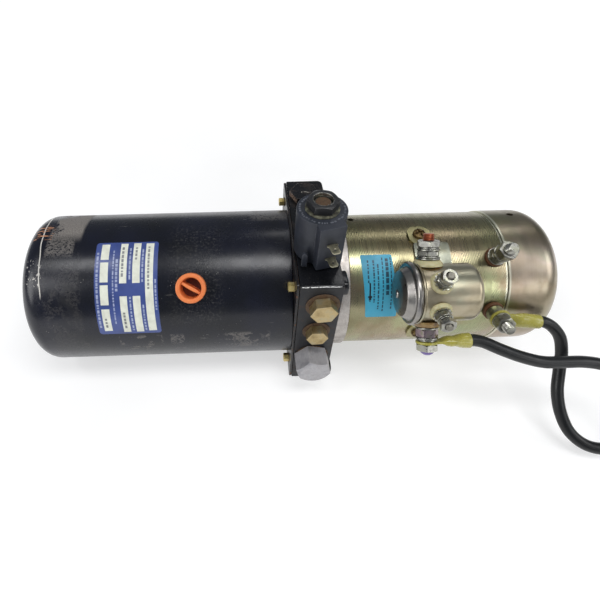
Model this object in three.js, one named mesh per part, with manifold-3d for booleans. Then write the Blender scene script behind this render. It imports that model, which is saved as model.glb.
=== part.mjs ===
// Hydraulic power unit: an oil tank, a square pump and valve block, and a direct-current motor with its
// start relay. Millimetres, +Z up. The origin is the centre of the block's base face; +X runs along the shaft
// towards the motor, and -Y is the face with the hex plugs.
import * as THREE from 'three';
import { mergeVertices } from 'three/addons/utils/BufferGeometryUtils.js';
import Module from 'manifold-3d';

const wasm = await Module();
wasm.setup();

// ---- driving dimensions ---------------------------------------------------------------------------------
const GAP = 0.3; // clearance between neighbouring solids
const SHAFT_Z = 63.5; // height of the shaft axis over the base

const BLOCK = { x0: -14, x1: 18, half: 63.5, corner: 1.5, backCorner: 6.5 };
const TOP_PLUG = { x: -0.3, y: 41, flats: 22, turn: -7, rise: 5 }; // hex head of the painted-in top plug
const EAR = { out: 3.5, wide: 17, tall: 15, inset: 0.4 }; // two corner ears on the block's motor side
const COUNTERBORE = { coupling: 17, seal: 14, journal: 8.2, idler: 7.2 }; // round the shaft and the idler's end
const GASKET = { inner: 59.3, outer: 61.3, thick: 1.7 };
const FLANGE = { thick: 2, hole: 58, corner: 4, boltHole: 2.9 };
const TANK = { radius: 63.2, wall: 2, end: -228, endRound: 14 };
const TANK_BOLT = { reachY: 51, reachZ: 49.5, radius: 2.5, length: 11.8, headFlats: 6.8, headLength: 4.6 };
const FILLER = { x: -94.5, tilt: 45, radius: 11.5, lip: 6, neck: 9.6, neckLength: 18, recess: 8.3 };

const RING = { radius: 58.5, x1: 29, spigot: 52.6 };
const CASE = { radius: 57.15, wall: 4, x0: 29.3, x1: 154.7 };
const CAP = { radius: 57.95, wall: 3, x0: 155, x1: 202, round: 17 };
const VENT = { radius: 2.8, angle: 109, caseX: 38, capX: 176 };
const SHAFT = { radius: 7, body: 8, journal: 5, x0: 16.5, step0: 40, step1: 182, x1: 197.5 };
const CORE = { radius: 31, x0: 55, x1: 120, slots: 14 };
const COMMUTATOR = { radius: 17, x0: 126, x1: 148 };
const MAGNET = { inner: 33, outer: 52.4, x0: 52, x1: 122, halfAngle: 62 };
const TIE_BOLT = { reach: 37, angle: 136, radius: 3, hole: 3.5, headFlats: 10, headLength: 5, x0: 11.8 };
const MOTOR_STUD = { x: 145, spread: 21.8, radius: 4, tip: 85, root: 44, lugAt: 69.6 };

const VALVE = { x: 2.8, y: -25.4, stem: 6.5, top: 172.4, foot: 98, body: 8.1, passage: 88 };
const COIL = { radius: 18.2, z0: 128.4, z1: 167, bossWidth: 19.6, bossReach: 22.5, bossTurn: 13.5 };
const COIL_NUT = { flats: 20.4, z0: 168.6, z1: 175.4, hole: 7.4, turn: -6 };
const SPADE = { width: 6.35, thick: 0.8, out: 9, heights: [151.8, 139] };

const CHECK = { x: 4, z: 105.5, bore: 7.2, depth: 26, seat: 3, flats: 17.8, out: 9, shank: 6.8, turn: 7 };
const GALLERY = { x: 2, z: 73, bore: 6, depth: 25, flats: 14.8, out: 8, shank: 5.6, turn: 3 };
const RELIEF = {
  x: 1, z: 37.5, bore: 10, depth: 30, seat: 3.2, flats: 26, out: 18.2, shank: 9.6, tip: 12.5, turn: -14,
};
const PORT = { x: 2, z: 80, bore: 9, depth: 16, flats: 22, out: 8, shank: 8.6, turn: 0 };
const BASE_HOLE = { x: 2, y: 38, radius: 4.3, depth: 16 };

const GEAR = { teeth: 10, spacing: 22, tip: 12.9, root: 8.6, x0: -33.2, x1: -14.8, shaft: 6.8 };
const PUMP = { x0: -34, coverX0: -46, width: 44, height: 62, pocket: 13.4 };

const RELAY = { y: -62.4, z: 115.4, radius: 21, wall: 1.4, x0: 69, x1: 113.3, tilt: 39.5, rim: 22.9 };
const RELAY_STUD = { x: 79.5, angles: [127, -47], radius: 4, tip: 43.5, root: 12, lugAt: 36.5 };
const BRACKET = { r0: 57.5, r1: 59.3, x0: 81.6, x1: 109.6, earX: 88.6, earHalf: 9, plate: 35.5, ears: 52.5 };

const LUG = { eye: 8, thick: 1.8, hole: 4.4, barrel: 5.8, barrelLength: 19, reach: 31.5 };
const CABLE = { radius: 4.5, sides: 8, steps: 44 };
// The jumper cable's route from the relay's lug, round its loop, to the motor's lug: points chosen by hand.
const CABLE_ROUTE = [
  [111.5, -87.3, 88.7], [115, -87.3, 88.6], [121, -88.3, 87.7], [134.5, -92.9, 83.7],
  [150, -97.2, 79.4], [167.3, -99.7, 75.4], [182.9, -99.7, 74.4], [198.6, -99.6, 73.5],
  [214.3, -101.4, 70.9], [229.3, -106.1, 64.8], [240.9, -113.4, 55.3], [246.7, -122.9, 43.6],
  [246, -132.3, 31.1], [238.6, -139.4, 20.6], [225.4, -142.2, 14.1], [211, -138.7, 13.6],
  [200.5, -130.2, 17.9], [195.1, -118.6, 26.2], [193.8, -105.2, 36.9], [196.2, -92.8, 48.1],
  [197.8, -82.4, 59.5], [195.1, -74.4, 69.9], [187.5, -69.3, 77.3], [180.3, -67.5, 80.7],
  [176.9, -67.4, 81.1],
];

// ---- helpers --------------------------------------------------------------------------------------------
const root = new THREE.Group();
const degrees = THREE.MathUtils.degToRad;

const FINISH = {
  blackPaint: [0x141518, 0.35, 0.3],
  blackPlastic: [0x1c1f24, 0.6, 0],
  yellowZinc: [0xb59a4e, 0.4, 0.9],
  oliveZinc: [0x8c8560, 0.4, 0.9],
  brightZinc: [0xb9b9b4, 0.3, 1],
  steel: [0x8d8d8a, 0.4, 1],
  aluminium: [0xb7b5b4, 0.45, 1],
  castAluminium: [0x9b9b9b, 0.6, 1],
  orangePlastic: [0xd2572a, 0.5, 0],
  rubber: [0x16171b, 0.5, 0],
  copper: [0xa0603c, 0.4, 1],
  ferrite: [0x2b2b2d, 0.8, 0],
  carbon: [0x2c2c2c, 0.7, 0],
  laminate: [0x6b4a2c, 0.8, 0],
  strainerMesh: [0xa9a48e, 0.6, 0.6],
  lugSleeve: [0xa9a436, 0.4, 0.2],
};

function part(group, name, geometry, finish) {
  const [color, roughness, metalness] = FINISH[finish];
  const mesh = new THREE.Mesh(geometry, new THREE.MeshStandardMaterial({ color, roughness, metalness }));
  mesh.name = name;
  group.add(mesh);
  return mesh;
}

// A closed geometry as a manifold solid, and back again.
function solid(geometry) {
  const bare = geometry.clone();
  bare.deleteAttribute('normal');
  bare.deleteAttribute('uv');
  const merged = mergeVertices(bare, 1e-4);
  const triVerts = new Uint32Array(merged.index.array);
  const vertProperties = new Float32Array(merged.attributes.position.array);
  return new wasm.Manifold(new wasm.Mesh({ numProp: 3, vertProperties, triVerts }));
}

function geometryOf(body) {
  const { vertProperties, triVerts } = body.getMesh();
  const geometry = new THREE.BufferGeometry();
  geometry.setAttribute('position', new THREE.BufferAttribute(vertProperties, 3));
  geometry.setIndex(new THREE.BufferAttribute(triVerts, 1));
  return geometry;
}

function cut(geometry, ...tools) {
  return geometryOf(tools.reduce((body, tool) => body.subtract(solid(tool)), solid(geometry)));
}

function join(geometry, ...others) {
  return geometryOf(others.reduce((body, other) => body.add(solid(other)), solid(geometry)));
}

// Turned piece about X, Y or Z: the profile lists [radius, station] with the outside in rising station order.
function turned(profile, segments, axis = 'x') {
  const geometry = new THREE.LatheGeometry(profile.map(([r, s]) => new THREE.Vector2(r, s)), segments);
  if (axis === 'x') geometry.rotateZ(-Math.PI / 2);
  if (axis === 'z') geometry.rotateX(Math.PI / 2);
  return geometry;
}

function rod(radius, from, to, segments = 16, axis = 'x') {
  return turned([[0, from], [radius, from], [radius, to], [0, to]], segments, axis);
}

function ring(inner, outer, from, to, segments = 24, axis = 'x') {
  return turned([[outer, from], [outer, to], [inner, to], [inner, from], [outer, from]], segments, axis);
}

// A hexagonal prism of the given size across flats.
function hex(flats, from, to, axis = 'x') {
  return rod(flats / Math.sqrt(3), from, to, 6, axis);
}

// Points of a quarter-round corner in a [radius, station] profile.
function quarter(centreR, centreS, radius, fromDeg, toDeg, steps = 4) {
  return Array.from({ length: steps + 1 }, (_, i) => {
    const a = degrees(fromDeg + ((toDeg - fromDeg) * i) / steps);
    return [centreR + radius * Math.cos(a), centreS + radius * Math.sin(a)];
  });
}

function circle(radius, count, cx = 0, cy = 0) {
  return Array.from({ length: count }, (_, i) => {
    const a = (2 * Math.PI * i) / count;
    return new THREE.Vector2(cx + radius * Math.cos(a), cy + radius * Math.sin(a));
  });
}

function roundedSquare(half, corner, steps = 3) {
  const centres = [[1, 1], [-1, 1], [-1, -1], [1, -1]];
  return centres.flatMap(([sx, sy], q) =>
    quarter(sx * (half - corner), sy * (half - corner), corner, 90 * q, 90 * q + 90, steps)
      .map(([x, y]) => new THREE.Vector2(x, y)));
}

// An outline in the Y-Z plane, made thick along X between two stations.
function plateAcrossX(outline, holes, from, to) {
  const shape = new THREE.Shape(outline);
  shape.holes = holes.map((points) => new THREE.Path(points));
  const geometry = new THREE.ExtrudeGeometry(shape, { depth: to - from, bevelEnabled: false });
  const axes = new THREE.Matrix4().makeBasis(
    new THREE.Vector3(0, 1, 0), new THREE.Vector3(0, 0, 1), new THREE.Vector3(1, 0, 0));
  return geometry.applyMatrix4(axes).translate(from, 0, 0);
}

// The point at a radius and an angle above the front (-Y), seen along the shaft.
function around(radius, angle) {
  return [-radius * Math.cos(degrees(angle)), radius * Math.sin(degrees(angle))];
}

// Turns a piece made along +Z so that it stands radially at the given angle above the front.
function radially(geometry, x, angle) {
  return geometry.rotateX(degrees(90 - angle)).translate(x, 0, 0);
}

// A wire wound along +Z.
function spring(radius, wire, from, to, turns) {
  const count = turns * 8;
  const points = Array.from({ length: count + 1 }, (_, i) => {
    const a = (2 * Math.PI * i) / 8;
    const z = from + wire + ((to - from - 2 * wire) * i) / count;
    return new THREE.Vector3(radius * Math.cos(a), radius * Math.sin(a), z);
  });
  const path = new THREE.CatmullRomCurve3(points);
  const section = new THREE.Shape(circle(wire, 4));
  return new THREE.ExtrudeGeometry(section, { steps: count, extrudePath: path, bevelEnabled: false });
}

function tube(points, outer, inner, steps, sides) {
  const path = new THREE.CatmullRomCurve3(points.map((p) => new THREE.Vector3(...p)), false, 'centripetal');
  const section = new THREE.Shape(circle(outer, sides));
  if (inner > 0) section.holes = [new THREE.Path(circle(inner, sides))];
  return new THREE.ExtrudeGeometry(section, { steps, extrudePath: path, bevelEnabled: false });
}

// Everything turned about the shaft hangs in this group.
const driveLine = new THREE.Group();
driveLine.position.z = SHAFT_Z;
root.add(driveLine);

// ---- tank -----------------------------------------------------------------------------------------------
const FLANGE_X0 = BLOCK.x0 - GAP - FLANGE.thick;
const FILLER_ANGLE = FILLER.tilt;

function tankShell() {
  const { radius: R, wall, end, endRound: r } = TANK;
  const mouth = FLANGE_X0 - GAP;
  const profile = [
    [0, end], ...quarter(R - r, end + r, r, -90, 0, 3), [R, mouth], [R - wall, mouth],
    ...quarter(R - r, end + r, r - wall, 0, -90, 2), [0, end + wall],
  ];
  const hole = radially(rod(FILLER.neck + 0.7, R - 20, R + 20, 20, 'z'), FILLER.x, FILLER_ANGLE);
  return cut(turned(profile, 36), hole);
}

function boltReaches() {
  return [[-1, 1], [1, 1], [-1, -1], [1, -1]].map(([sy, sz]) => [sy * TANK_BOLT.reachY, sz * TANK_BOLT.reachZ]);
}

function tankFlange() {
  const holes = [circle(FLANGE.hole, 40), ...boltReaches().map(([y, z]) => circle(FLANGE.boltHole, 10, y, z))];
  return plateAcrossX(roundedSquare(BLOCK.half, FLANGE.corner), holes, FLANGE_X0, BLOCK.x0 - GAP);
}

function tankBolt() {
  const seat = FLANGE_X0 - GAP;
  const head = hex(TANK_BOLT.headFlats, seat - TANK_BOLT.headLength, seat);
  return join(head, rod(TANK_BOLT.radius, seat - 1, seat + TANK_BOLT.length, 10));
}

function fillerPlug() {
  const seat = TANK.radius + GAP;
  const { radius: R, lip, neck, neckLength, recess } = FILLER;
  const profile = [
    [0, seat - neckLength], [neck, seat - neckLength], [neck, seat], [R, seat], [R, seat + lip - 1],
    [R - 1, seat + lip], [recess + 0.8, seat + lip], [recess, seat + lip - 1], [recess, seat + 1.5],
    [0, seat + 1.5],
  ];
  const barHeight = lip - 2.2;
  const bar = new THREE.BoxGeometry(2 * recess + 1, 3.4, barHeight).translate(0, 0, seat + 1.2 + barHeight / 2);
  bar.rotateZ(degrees(-45));
  return radially(join(turned(profile, 24, 'z'), bar), FILLER.x, FILLER_ANGLE);
}

part(driveLine, 'tank_shell', tankShell(), 'blackPaint');
part(driveLine, 'tank_flange', tankFlange(), 'blackPaint');
const gasket = ring(GASKET.inner, GASKET.outer, BLOCK.x0, BLOCK.x0 + GASKET.thick, 32);
part(driveLine, 'tank_gasket', gasket, 'rubber');
boltReaches().forEach(([y, z], i) => {
  part(driveLine, `tank_bolt_${i + 1}`, tankBolt(), 'yellowZinc').position.set(0, y, z);
});
part(driveLine, 'filler_plug', fillerPlug(), 'orangePlastic');

// ---- pump and block -------------------------------------------------------------------------------------
function bore(radius, from, to, x, z, segments = 20) {
  return rod(radius, from, to, segments, 'y').translate(x, 0, z);
}

function blockBody() {
  const { x0, x1, half, corner } = BLOCK;
  const body = plateAcrossX(roundedSquare(half, corner), [], x0, x1).translate(0, 0, half);
  const earZ = EAR.tall / 2 + EAR.inset;
  const ears = [earZ, 2 * half - earZ].map((z) =>
    new THREE.BoxGeometry(2 * EAR.out, EAR.wide, EAR.tall).translate(x1, EAR.wide / 2 + EAR.inset - half, z));
  const plugTurn = degrees(30 + TOP_PLUG.turn);
  const plugHead = hex(TOP_PLUG.flats, 2 * half - 1, 2 * half + TOP_PLUG.rise, 'z').rotateZ(plugTurn);
  const whole = join(body, plugHead.translate(TOP_PLUG.x, TOP_PLUG.y, 0), ...ears);
  return cut(whole, backCornerCut());
}

// What is taken off the block's upright corner between its motor side and its back, to round it.
function backCornerCut() {
  const { x1, half, backCorner: r } = BLOCK;
  const arc = quarter(x1 - r, half - r, r, 90, 0, 4).map(([x, y]) => new THREE.Vector2(x, y));
  const outline = [[x1 + 1, half + 1], [x1 - r, half + 1]].map(([x, y]) => new THREE.Vector2(x, y));
  const shape = new THREE.Shape([...outline, ...arc, new THREE.Vector2(x1 + 1, half - r)]);
  return new THREE.ExtrudeGeometry(shape, { depth: 2 * half + 2, bevelEnabled: false }).translate(0, 0, -1);
}

// Cuts along the shaft: its stepped bore, the idler's journal, the gasket's groove and the bolts' blind holes.
function shaftCuts() {
  const { x0, x1 } = BLOCK;
  const cuts = [
    rod(COUNTERBORE.coupling, 4, x1 + 1, 32),
    rod(COUNTERBORE.seal, -2, 5, 24),
    rod(COUNTERBORE.journal, x0 - 1, 0, 20),
    rod(COUNTERBORE.idler, x0 - 1, -3, 16).translate(0, 0, -GEAR.spacing),
    ring(GASKET.inner - GAP, GASKET.outer + GAP, x0 - 1, x0 + GASKET.thick + GAP, 32),
    ...boltReaches().map(([y, z]) => rod(FLANGE.boltHole, x0 - 1, -3, 10).translate(0, y, z)),
    ...tieBoltPlaces().map(([y, z]) => rod(TIE_BOLT.hole, TIE_BOLT.x0 - 0.6, x1 + 1, 10).translate(0, y, z)),
  ];
  return cuts.map((tool) => tool.translate(0, 0, SHAFT_Z));
}

// Cuts into the front and back faces: plug bores, the valves' seats behind them, and the pressure port.
function faceCuts() {
  const { half } = BLOCK;
  return [
    bore(CHECK.bore, -half - 1, -half + CHECK.depth, CHECK.x, CHECK.z),
    bore(CHECK.seat, -half, -30, CHECK.x, CHECK.z, 10),
    bore(GALLERY.bore, -half - 1, -half + GALLERY.depth, GALLERY.x, GALLERY.z),
    bore(RELIEF.bore, -half - 1, -half + RELIEF.depth, RELIEF.x, RELIEF.z),
    bore(RELIEF.seat, -half, -22, RELIEF.x, RELIEF.z, 10),
    bore(PORT.bore, half - PORT.depth, half + 1, PORT.x, PORT.z),
  ];
}

// Upright cuts: the cartridge valve's cavity, its passage, and the two mounting holes in the base.
function uprightCuts() {
  const cavity = rod(VALVE.body + 0.4, VALVE.foot - 1, 2 * BLOCK.half + 4, 20, 'z');
  const passage = rod(CHECK.seat, VALVE.passage, VALVE.foot, 10, 'z');
  const mountingHoles = [-BASE_HOLE.y, BASE_HOLE.y].map((y) =>
    rod(BASE_HOLE.radius, -1, BASE_HOLE.depth, 16, 'z').translate(BASE_HOLE.x, y, 0));
  return [cavity.translate(VALVE.x, VALVE.y, 0), passage.translate(VALVE.x, VALVE.y, 0), ...mountingHoles];
}

function block() {
  return cut(blockBody(), ...shaftCuts(), ...faceCuts(), ...uprightCuts());
}

function gearOutline(turn) {
  const step = 360 / GEAR.teeth;
  const tooth = [[GEAR.root, -12.5], [GEAR.root + 0.4, -11.5], [GEAR.tip, -4], [GEAR.tip, 4],
    [GEAR.root + 0.4, 11.5], [GEAR.root, 12.5]];
  return Array.from({ length: GEAR.teeth }, (_, i) => i * step + turn).flatMap((a) =>
    tooth.map(([r, da]) => new THREE.Vector2(r * Math.cos(degrees(a + da)), r * Math.sin(degrees(a + da)))));
}

function pumpGear(turn, shaftEnd) {
  const wheel = plateAcrossX(gearOutline(turn), [], GEAR.x0, GEAR.x1);
  return join(wheel, rod(GEAR.shaft, PUMP.coverX0 + 4, shaftEnd, 16));
}

function pumpOutline() {
  const middle = -GEAR.spacing / 2;
  const w = PUMP.width / 2;
  const h = PUMP.height / 2;
  return [[w, middle - h + 6], [w, middle + h - 6], [w - 6, middle + h], [6 - w, middle + h],
    [-w, middle + h - 6], [-w, middle - h + 6], [6 - w, middle - h], [w - 6, middle - h]]
    .map(([y, z]) => new THREE.Vector2(y, z));
}

function pumpBody() {
  const body = plateAcrossX(pumpOutline(), [], PUMP.x0 + GAP, BLOCK.x0 - GAP);
  const pockets = [0, -GEAR.spacing].map((z) =>
    rod(PUMP.pocket, PUMP.x0 - 1, BLOCK.x0 + 1, 28).translate(0, 0, z));
  return cut(body, ...pockets);
}

function pumpCover() {
  const body = plateAcrossX(pumpOutline(), [], PUMP.coverX0, PUMP.x0);
  const bores = [0, -GEAR.spacing].map((z) =>
    rod(GEAR.shaft + 0.3, PUMP.coverX0 + 3.5, PUMP.x0 + 1, 16).translate(0, 0, z));
  const inlet = rod(6.4, PUMP.coverX0 - 1, PUMP.x0 + 1, 12).translate(0, 14.5, -11);
  return cut(body, ...bores, inlet);
}

function tieBoltPlaces() {
  return [0, 180].map((turn) => around(TIE_BOLT.reach, TIE_BOLT.angle + turn));
}

part(root, 'block', block(), 'blackPaint');
part(driveLine, 'pump_body', pumpBody(), 'castAluminium');
part(driveLine, 'pump_cover', pumpCover(), 'castAluminium');
part(driveLine, 'drive_gear', pumpGear(-90, 15.5), 'steel');
part(driveLine, 'idler_gear', pumpGear(90 + 180 / GEAR.teeth, -4), 'steel').position.z = -GEAR.spacing;
part(driveLine, 'shaft_seal', ring(7.5, 13.6, -1.7, 3.7), 'rubber');
part(driveLine, 'coupling', ring(7.4, 12, 6, 22), 'steel');

const SUCTION_END = -132;
const suctionRoute = [[PUMP.coverX0 + 8, 14.5, -11], [-62, 14.5, -11], [-80, 13, -15], [-94, 8, -27],
  [-108, 4, -34], [-126, 3, -36]];
part(driveLine, 'suction_tube', tube(suctionRoute, 6, 4.4, 8, 8), 'steel');
const strainer = turned([[0, SUCTION_END - 44], [17, SUCTION_END - 44], [17, SUCTION_END + 1],
  [6.6, SUCTION_END + 1], [6.6, SUCTION_END - 38], [0, SUCTION_END - 38]], 20);
part(driveLine, 'suction_strainer', strainer.translate(0, 3, -36), 'strainerMesh');
const returnRoute = [[BLOCK.x0 - GAP, -34, -8], [-40, -34, -8], [-60, -34, -12], [-70, -33, -26],
  [-74, -31, -40]];
part(driveLine, 'return_tube', tube(returnRoute, 4.5, 3, 7, 6), 'steel');

// ---- plugs, check valve and relief valve on the front face ----------------------------------------------
const FRONT = -BLOCK.half - GAP;

// A hex-headed plug that screws into the front face.
function hexPlug(size, depth) {
  const head = hex(size.flats, FRONT - size.out, FRONT, 'y').rotateY(degrees(30 - size.turn));
  return join(head, rod(size.shank, FRONT - 1, FRONT + depth, 16, 'y'));
}

function alongY(geometry) {
  return geometry.rotateX(-Math.PI / 2);
}

const checkValve = new THREE.Group();
checkValve.position.set(CHECK.x, 0, CHECK.z);
root.add(checkValve);
part(checkValve, 'check_plug', hexPlug(CHECK, 11), 'yellowZinc');
const poppetProfile = [[0, -45], [4.2, -45], [4.2, -40.5], [2.2, -38.4], [0, -38.4]];
part(checkValve, 'check_poppet', turned(poppetProfile, 12, 'y'), 'steel');
part(checkValve, 'check_spring', alongY(spring(3.4, 0.6, -52.4, -48.4, 3)), 'steel');

const gallery = new THREE.Group();
gallery.position.set(GALLERY.x, 0, GALLERY.z);
root.add(gallery);
part(gallery, 'gallery_plug', hexPlug(GALLERY, 12), 'yellowZinc');

function reliefCap() {
  const c = RELIEF.flats / Math.sqrt(3);
  const tip = FRONT - RELIEF.out;
  const profile = [[0, tip], [RELIEF.tip, tip], [c + 1.2, tip + 2.4], [c + 1.2, FRONT], [0, FRONT]];
  const prism = hex(RELIEF.flats, tip, FRONT, 'y').rotateY(degrees(30 - RELIEF.turn));
  const head = geometryOf(solid(prism).intersect(solid(turned(profile, 24, 'y'))));
  const shank = rod(RELIEF.shank, FRONT - 1, FRONT + 13, 20, 'y');
  return cut(join(head, shank), rod(5, FRONT - 4, FRONT + 14, 12, 'y'));
}

const reliefValve = new THREE.Group();
reliefValve.position.set(RELIEF.x, 0, RELIEF.z);
root.add(reliefValve);
part(reliefValve, 'relief_cap', reliefCap(), 'aluminium');
const reliefPoppet = [[0, -49.6], [2.4, -49.6], [2.4, -41], [6.4, -41], [6.4, -37], [2.6, -34.2], [0, -34.2]];
part(reliefValve, 'relief_poppet', turned(reliefPoppet, 12, 'y'), 'steel');
part(reliefValve, 'relief_spring', alongY(spring(3.8, 0.7, -67, -44.8, 5)), 'steel');

const portPlug = hexPlug(PORT, 10).rotateZ(Math.PI);
part(root, 'port_plug', portPlug.translate(PORT.x, 0, PORT.z), 'yellowZinc');

// ---- solenoid valve on top ------------------------------------------------------------------------------
const valve = new THREE.Group();
valve.position.set(VALVE.x, VALVE.y, 0);
root.add(valve);

function valveCartridge() {
  const top = 2 * BLOCK.half + GAP;
  const { body: b, stem, foot } = VALVE;
  return turned([[0, 158], [4.9, 158], [4.9, foot], [b, foot], [b, top], [11, top], [11, COIL.z0 - GAP],
    [stem, COIL.z0 - GAP], [stem, VALVE.top - 1], [stem - 1, VALVE.top], [0, VALVE.top]], 16, 'z');
}

function coil() {
  const shell = turned([[VALVE.stem + 0.5, COIL.z0], [COIL.radius, COIL.z0], [COIL.radius, COIL.z1 - 0.8],
    [COIL.radius - 0.8, COIL.z1], [VALVE.stem + 0.5, COIL.z1], [VALVE.stem + 0.5, COIL.z0]], 36, 'z');
  const boss = new THREE.BoxGeometry(COIL.bossWidth, COIL.bossReach - 9, COIL.z1 - COIL.z0 - 1.6);
  boss.translate(0, -(COIL.bossReach + 9) / 2, (COIL.z0 + COIL.z1) / 2).rotateZ(degrees(COIL.bossTurn));
  const latch = new THREE.BoxGeometry(4, 4, 12).translate(-9.6, -16.4, COIL.z0 + 7);
  return join(shell, boss, latch.rotateZ(degrees(COIL.bossTurn)));
}

function coilNut() {
  const { flats, z0, z1, hole, turn } = COIL_NUT;
  const body = hex(flats, z0, z1, 'z').rotateZ(degrees(turn + 30));
  return cut(body, rod(hole, z0 - 1, z1 + 1, 24, 'z'));
}

function spade(z) {
  const { width: w, out, thick } = SPADE;
  const y0 = -COIL.bossReach - GAP;
  const outline = [[w / 2 + 0.9, 0], [w / 2 + 0.9, -1.4], [w / 2, -2.2], [w / 2, -out + 1.4],
    [w / 2 - 1.2, -out], [1.2 - w / 2, -out], [-w / 2, 1.4 - out], [-w / 2, -2.2], [-w / 2 - 0.9, -1.4],
    [-w / 2 - 0.9, 0]];
  const shape = new THREE.Shape(outline.map(([x, y]) => new THREE.Vector2(x, y0 + y)).reverse());
  shape.holes = [new THREE.Path(circle(0.9, 8, 0, y0 - out + 4))];
  const blade = new THREE.ExtrudeGeometry(shape, { depth: thick, bevelEnabled: false });
  return blade.translate(0, 0, z).rotateZ(degrees(COIL.bossTurn));
}

part(valve, 'valve_cartridge', valveCartridge(), 'steel');
part(valve, 'valve_plunger', rod(4.4, 104, 132, 14, 'z'), 'steel');
part(valve, 'valve_spring', spring(3.2, 0.6, 132.4, 157.6, 5), 'steel');
part(valve, 'coil', coil(), 'blackPlastic');
part(valve, 'coil_nut', coilNut(), 'blackPlastic');
part(valve, 'spade_upper', spade(SPADE.heights[0]), 'yellowZinc');
part(valve, 'spade_lower', spade(SPADE.heights[1]), 'yellowZinc');

// ---- motor ----------------------------------------------------------------------------------------------
function adapterRing() {
  const x0 = BLOCK.x1 + GAP;
  const { radius: R, x1, spigot } = RING;
  const body = turned([[R, x0], [R, x1], [spigot, x1], [spigot, x1 + 4], [16.1, x1 + 4], [16.1, 23.7],
    [13.5, 23.7], [13.5, x0], [R, x0]], 32);
  const roomForEars = [-55, 55].map((z) =>
    new THREE.BoxGeometry(12, 30, 22).translate(BLOCK.x1 - 2, -BLOCK.half, z));
  const boltHoles = tieBoltPlaces().map(([y, z]) =>
    rod(TIE_BOLT.hole, x0 - 1, x1 + 6, 10).translate(0, y, z));
  return cut(body, ...roomForEars, ...boltHoles);
}

function studAngles() {
  return [RELAY.tilt + MOTOR_STUD.spread, RELAY.tilt - MOTOR_STUD.spread];
}

function motorCase() {
  const { radius: R, wall, x0, x1 } = CASE;
  const vent = radially(rod(VENT.radius, R - 8, R + 8, 10, 'z'), VENT.caseX, VENT.angle);
  const studHoles = studAngles().map((a) => radially(rod(6, R - 10, R + 10, 14, 'z'), MOTOR_STUD.x, a));
  return cut(ring(R - wall, R, x0, x1, 32), vent, ...studHoles);
}

function endCap() {
  const { radius: R, wall, x0, x1, round: r } = CAP;
  const floor = x1 - wall;
  const profile = [
    [0, floor], [9.4, floor], [9.4, floor - 9], [13, floor - 9], [13, floor],
    ...quarter(R - r, x1 - r, r - wall, 90, 0, 2), [R - wall, x0], [R, x0],
    ...quarter(R - r, x1 - r, r, 0, 90, 3), [0, x1],
  ];
  const vent = radially(rod(VENT.radius, R - 8, R + 8, 10, 'z'), VENT.capX, VENT.angle);
  const boltHoles = tieBoltPlaces().map(([y, z]) =>
    rod(TIE_BOLT.hole, floor - 2, x1 + 2, 10).translate(0, y, z));
  return cut(turned(profile, 32), vent, ...boltHoles);
}

function tieBolt() {
  const seat = CAP.x1 + GAP;
  const head = hex(TIE_BOLT.headFlats, seat, seat + TIE_BOLT.headLength);
  return join(head, rod(TIE_BOLT.radius, TIE_BOLT.x0, seat + 1, 10));
}

function armatureShaft() {
  const { x0, x1, radius, body, journal, step0, step1 } = SHAFT;
  return turned([[0, x0], [radius, x0], [radius, step0], [body, step0], [body, step1], [journal, step1],
    [journal, x1], [0, x1]], 20);
}

function armatureCore() {
  const step = 360 / CORE.slots;
  const slotFloor = CORE.radius - 9;
  const outline = Array.from({ length: CORE.slots }, (_, i) => i * step).flatMap((a) =>
    [[CORE.radius, 2.5], [CORE.radius, step - 2.5], [slotFloor, step - 3.5], [slotFloor, step + 3.5]]
      .map(([r, da]) => new THREE.Vector2(r * Math.cos(degrees(a + da)), r * Math.sin(degrees(a + da)))));
  return plateAcrossX(outline, [circle(SHAFT.body + 0.3, 20)], CORE.x0, CORE.x1);
}

function magnet(turn) {
  const { inner, outer, halfAngle: h, x0, x1 } = MAGNET;
  const middle = TIE_BOLT.angle - 90 + turn;
  const arc = (radius, from, to) => Array.from({ length: 13 }, (_, i) =>
    new THREE.Vector2(...around(radius, middle + from + ((to - from) * i) / 12)));
  const outline = [...arc(outer, h, -h), ...arc(inner, -h, h)];
  return plateAcrossX(THREE.ShapeUtils.isClockWise(outline) ? outline.reverse() : outline, [], x0, x1);
}

function brushRing() {
  const holes = [circle(24, 24), ...tieBoltPlaces().map(([y, z]) => circle(TIE_BOLT.hole + 0.1, 10, y, z))];
  return plateAcrossX(circle(MAGNET.outer, 32), holes, 151, CASE.x1 - 0.4);
}

function brush(angle) {
  const box = new THREE.BoxGeometry(14, 9, 18).translate(0, 0, COMMUTATOR.radius + GAP + 9);
  return radially(box, (COMMUTATOR.x0 + COMMUTATOR.x1) / 2, angle);
}

part(driveLine, 'adapter_ring', adapterRing(), 'aluminium');
part(driveLine, 'motor_case', motorCase(), 'oliveZinc');
part(driveLine, 'end_cap', endCap(), 'oliveZinc');
part(driveLine, 'front_bearing', ring(7.4, 15.7, 24, 32.7), 'steel');
part(driveLine, 'rear_bearing', ring(5.3, 9.1, 190.4, 198.6, 20), 'steel');
part(driveLine, 'armature_shaft', armatureShaft(), 'steel');
part(driveLine, 'armature_core', armatureCore(), 'laminate');
const commutator = ring(SHAFT.body + GAP, COMMUTATOR.radius, COMMUTATOR.x0, COMMUTATOR.x1);
part(driveLine, 'commutator', commutator, 'copper');
part(driveLine, 'magnet_1', magnet(0), 'ferrite');
part(driveLine, 'magnet_2', magnet(180), 'ferrite');
part(driveLine, 'brush_ring', brushRing(), 'laminate');
part(driveLine, 'brush_1', brush(TIE_BOLT.angle - 90), 'carbon');
part(driveLine, 'brush_2', brush(TIE_BOLT.angle + 90), 'carbon');
tieBoltPlaces().forEach(([y, z], i) => {
  part(driveLine, `tie_bolt_${i + 1}`, tieBolt(), 'yellowZinc').position.set(0, y, z);
});

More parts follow.
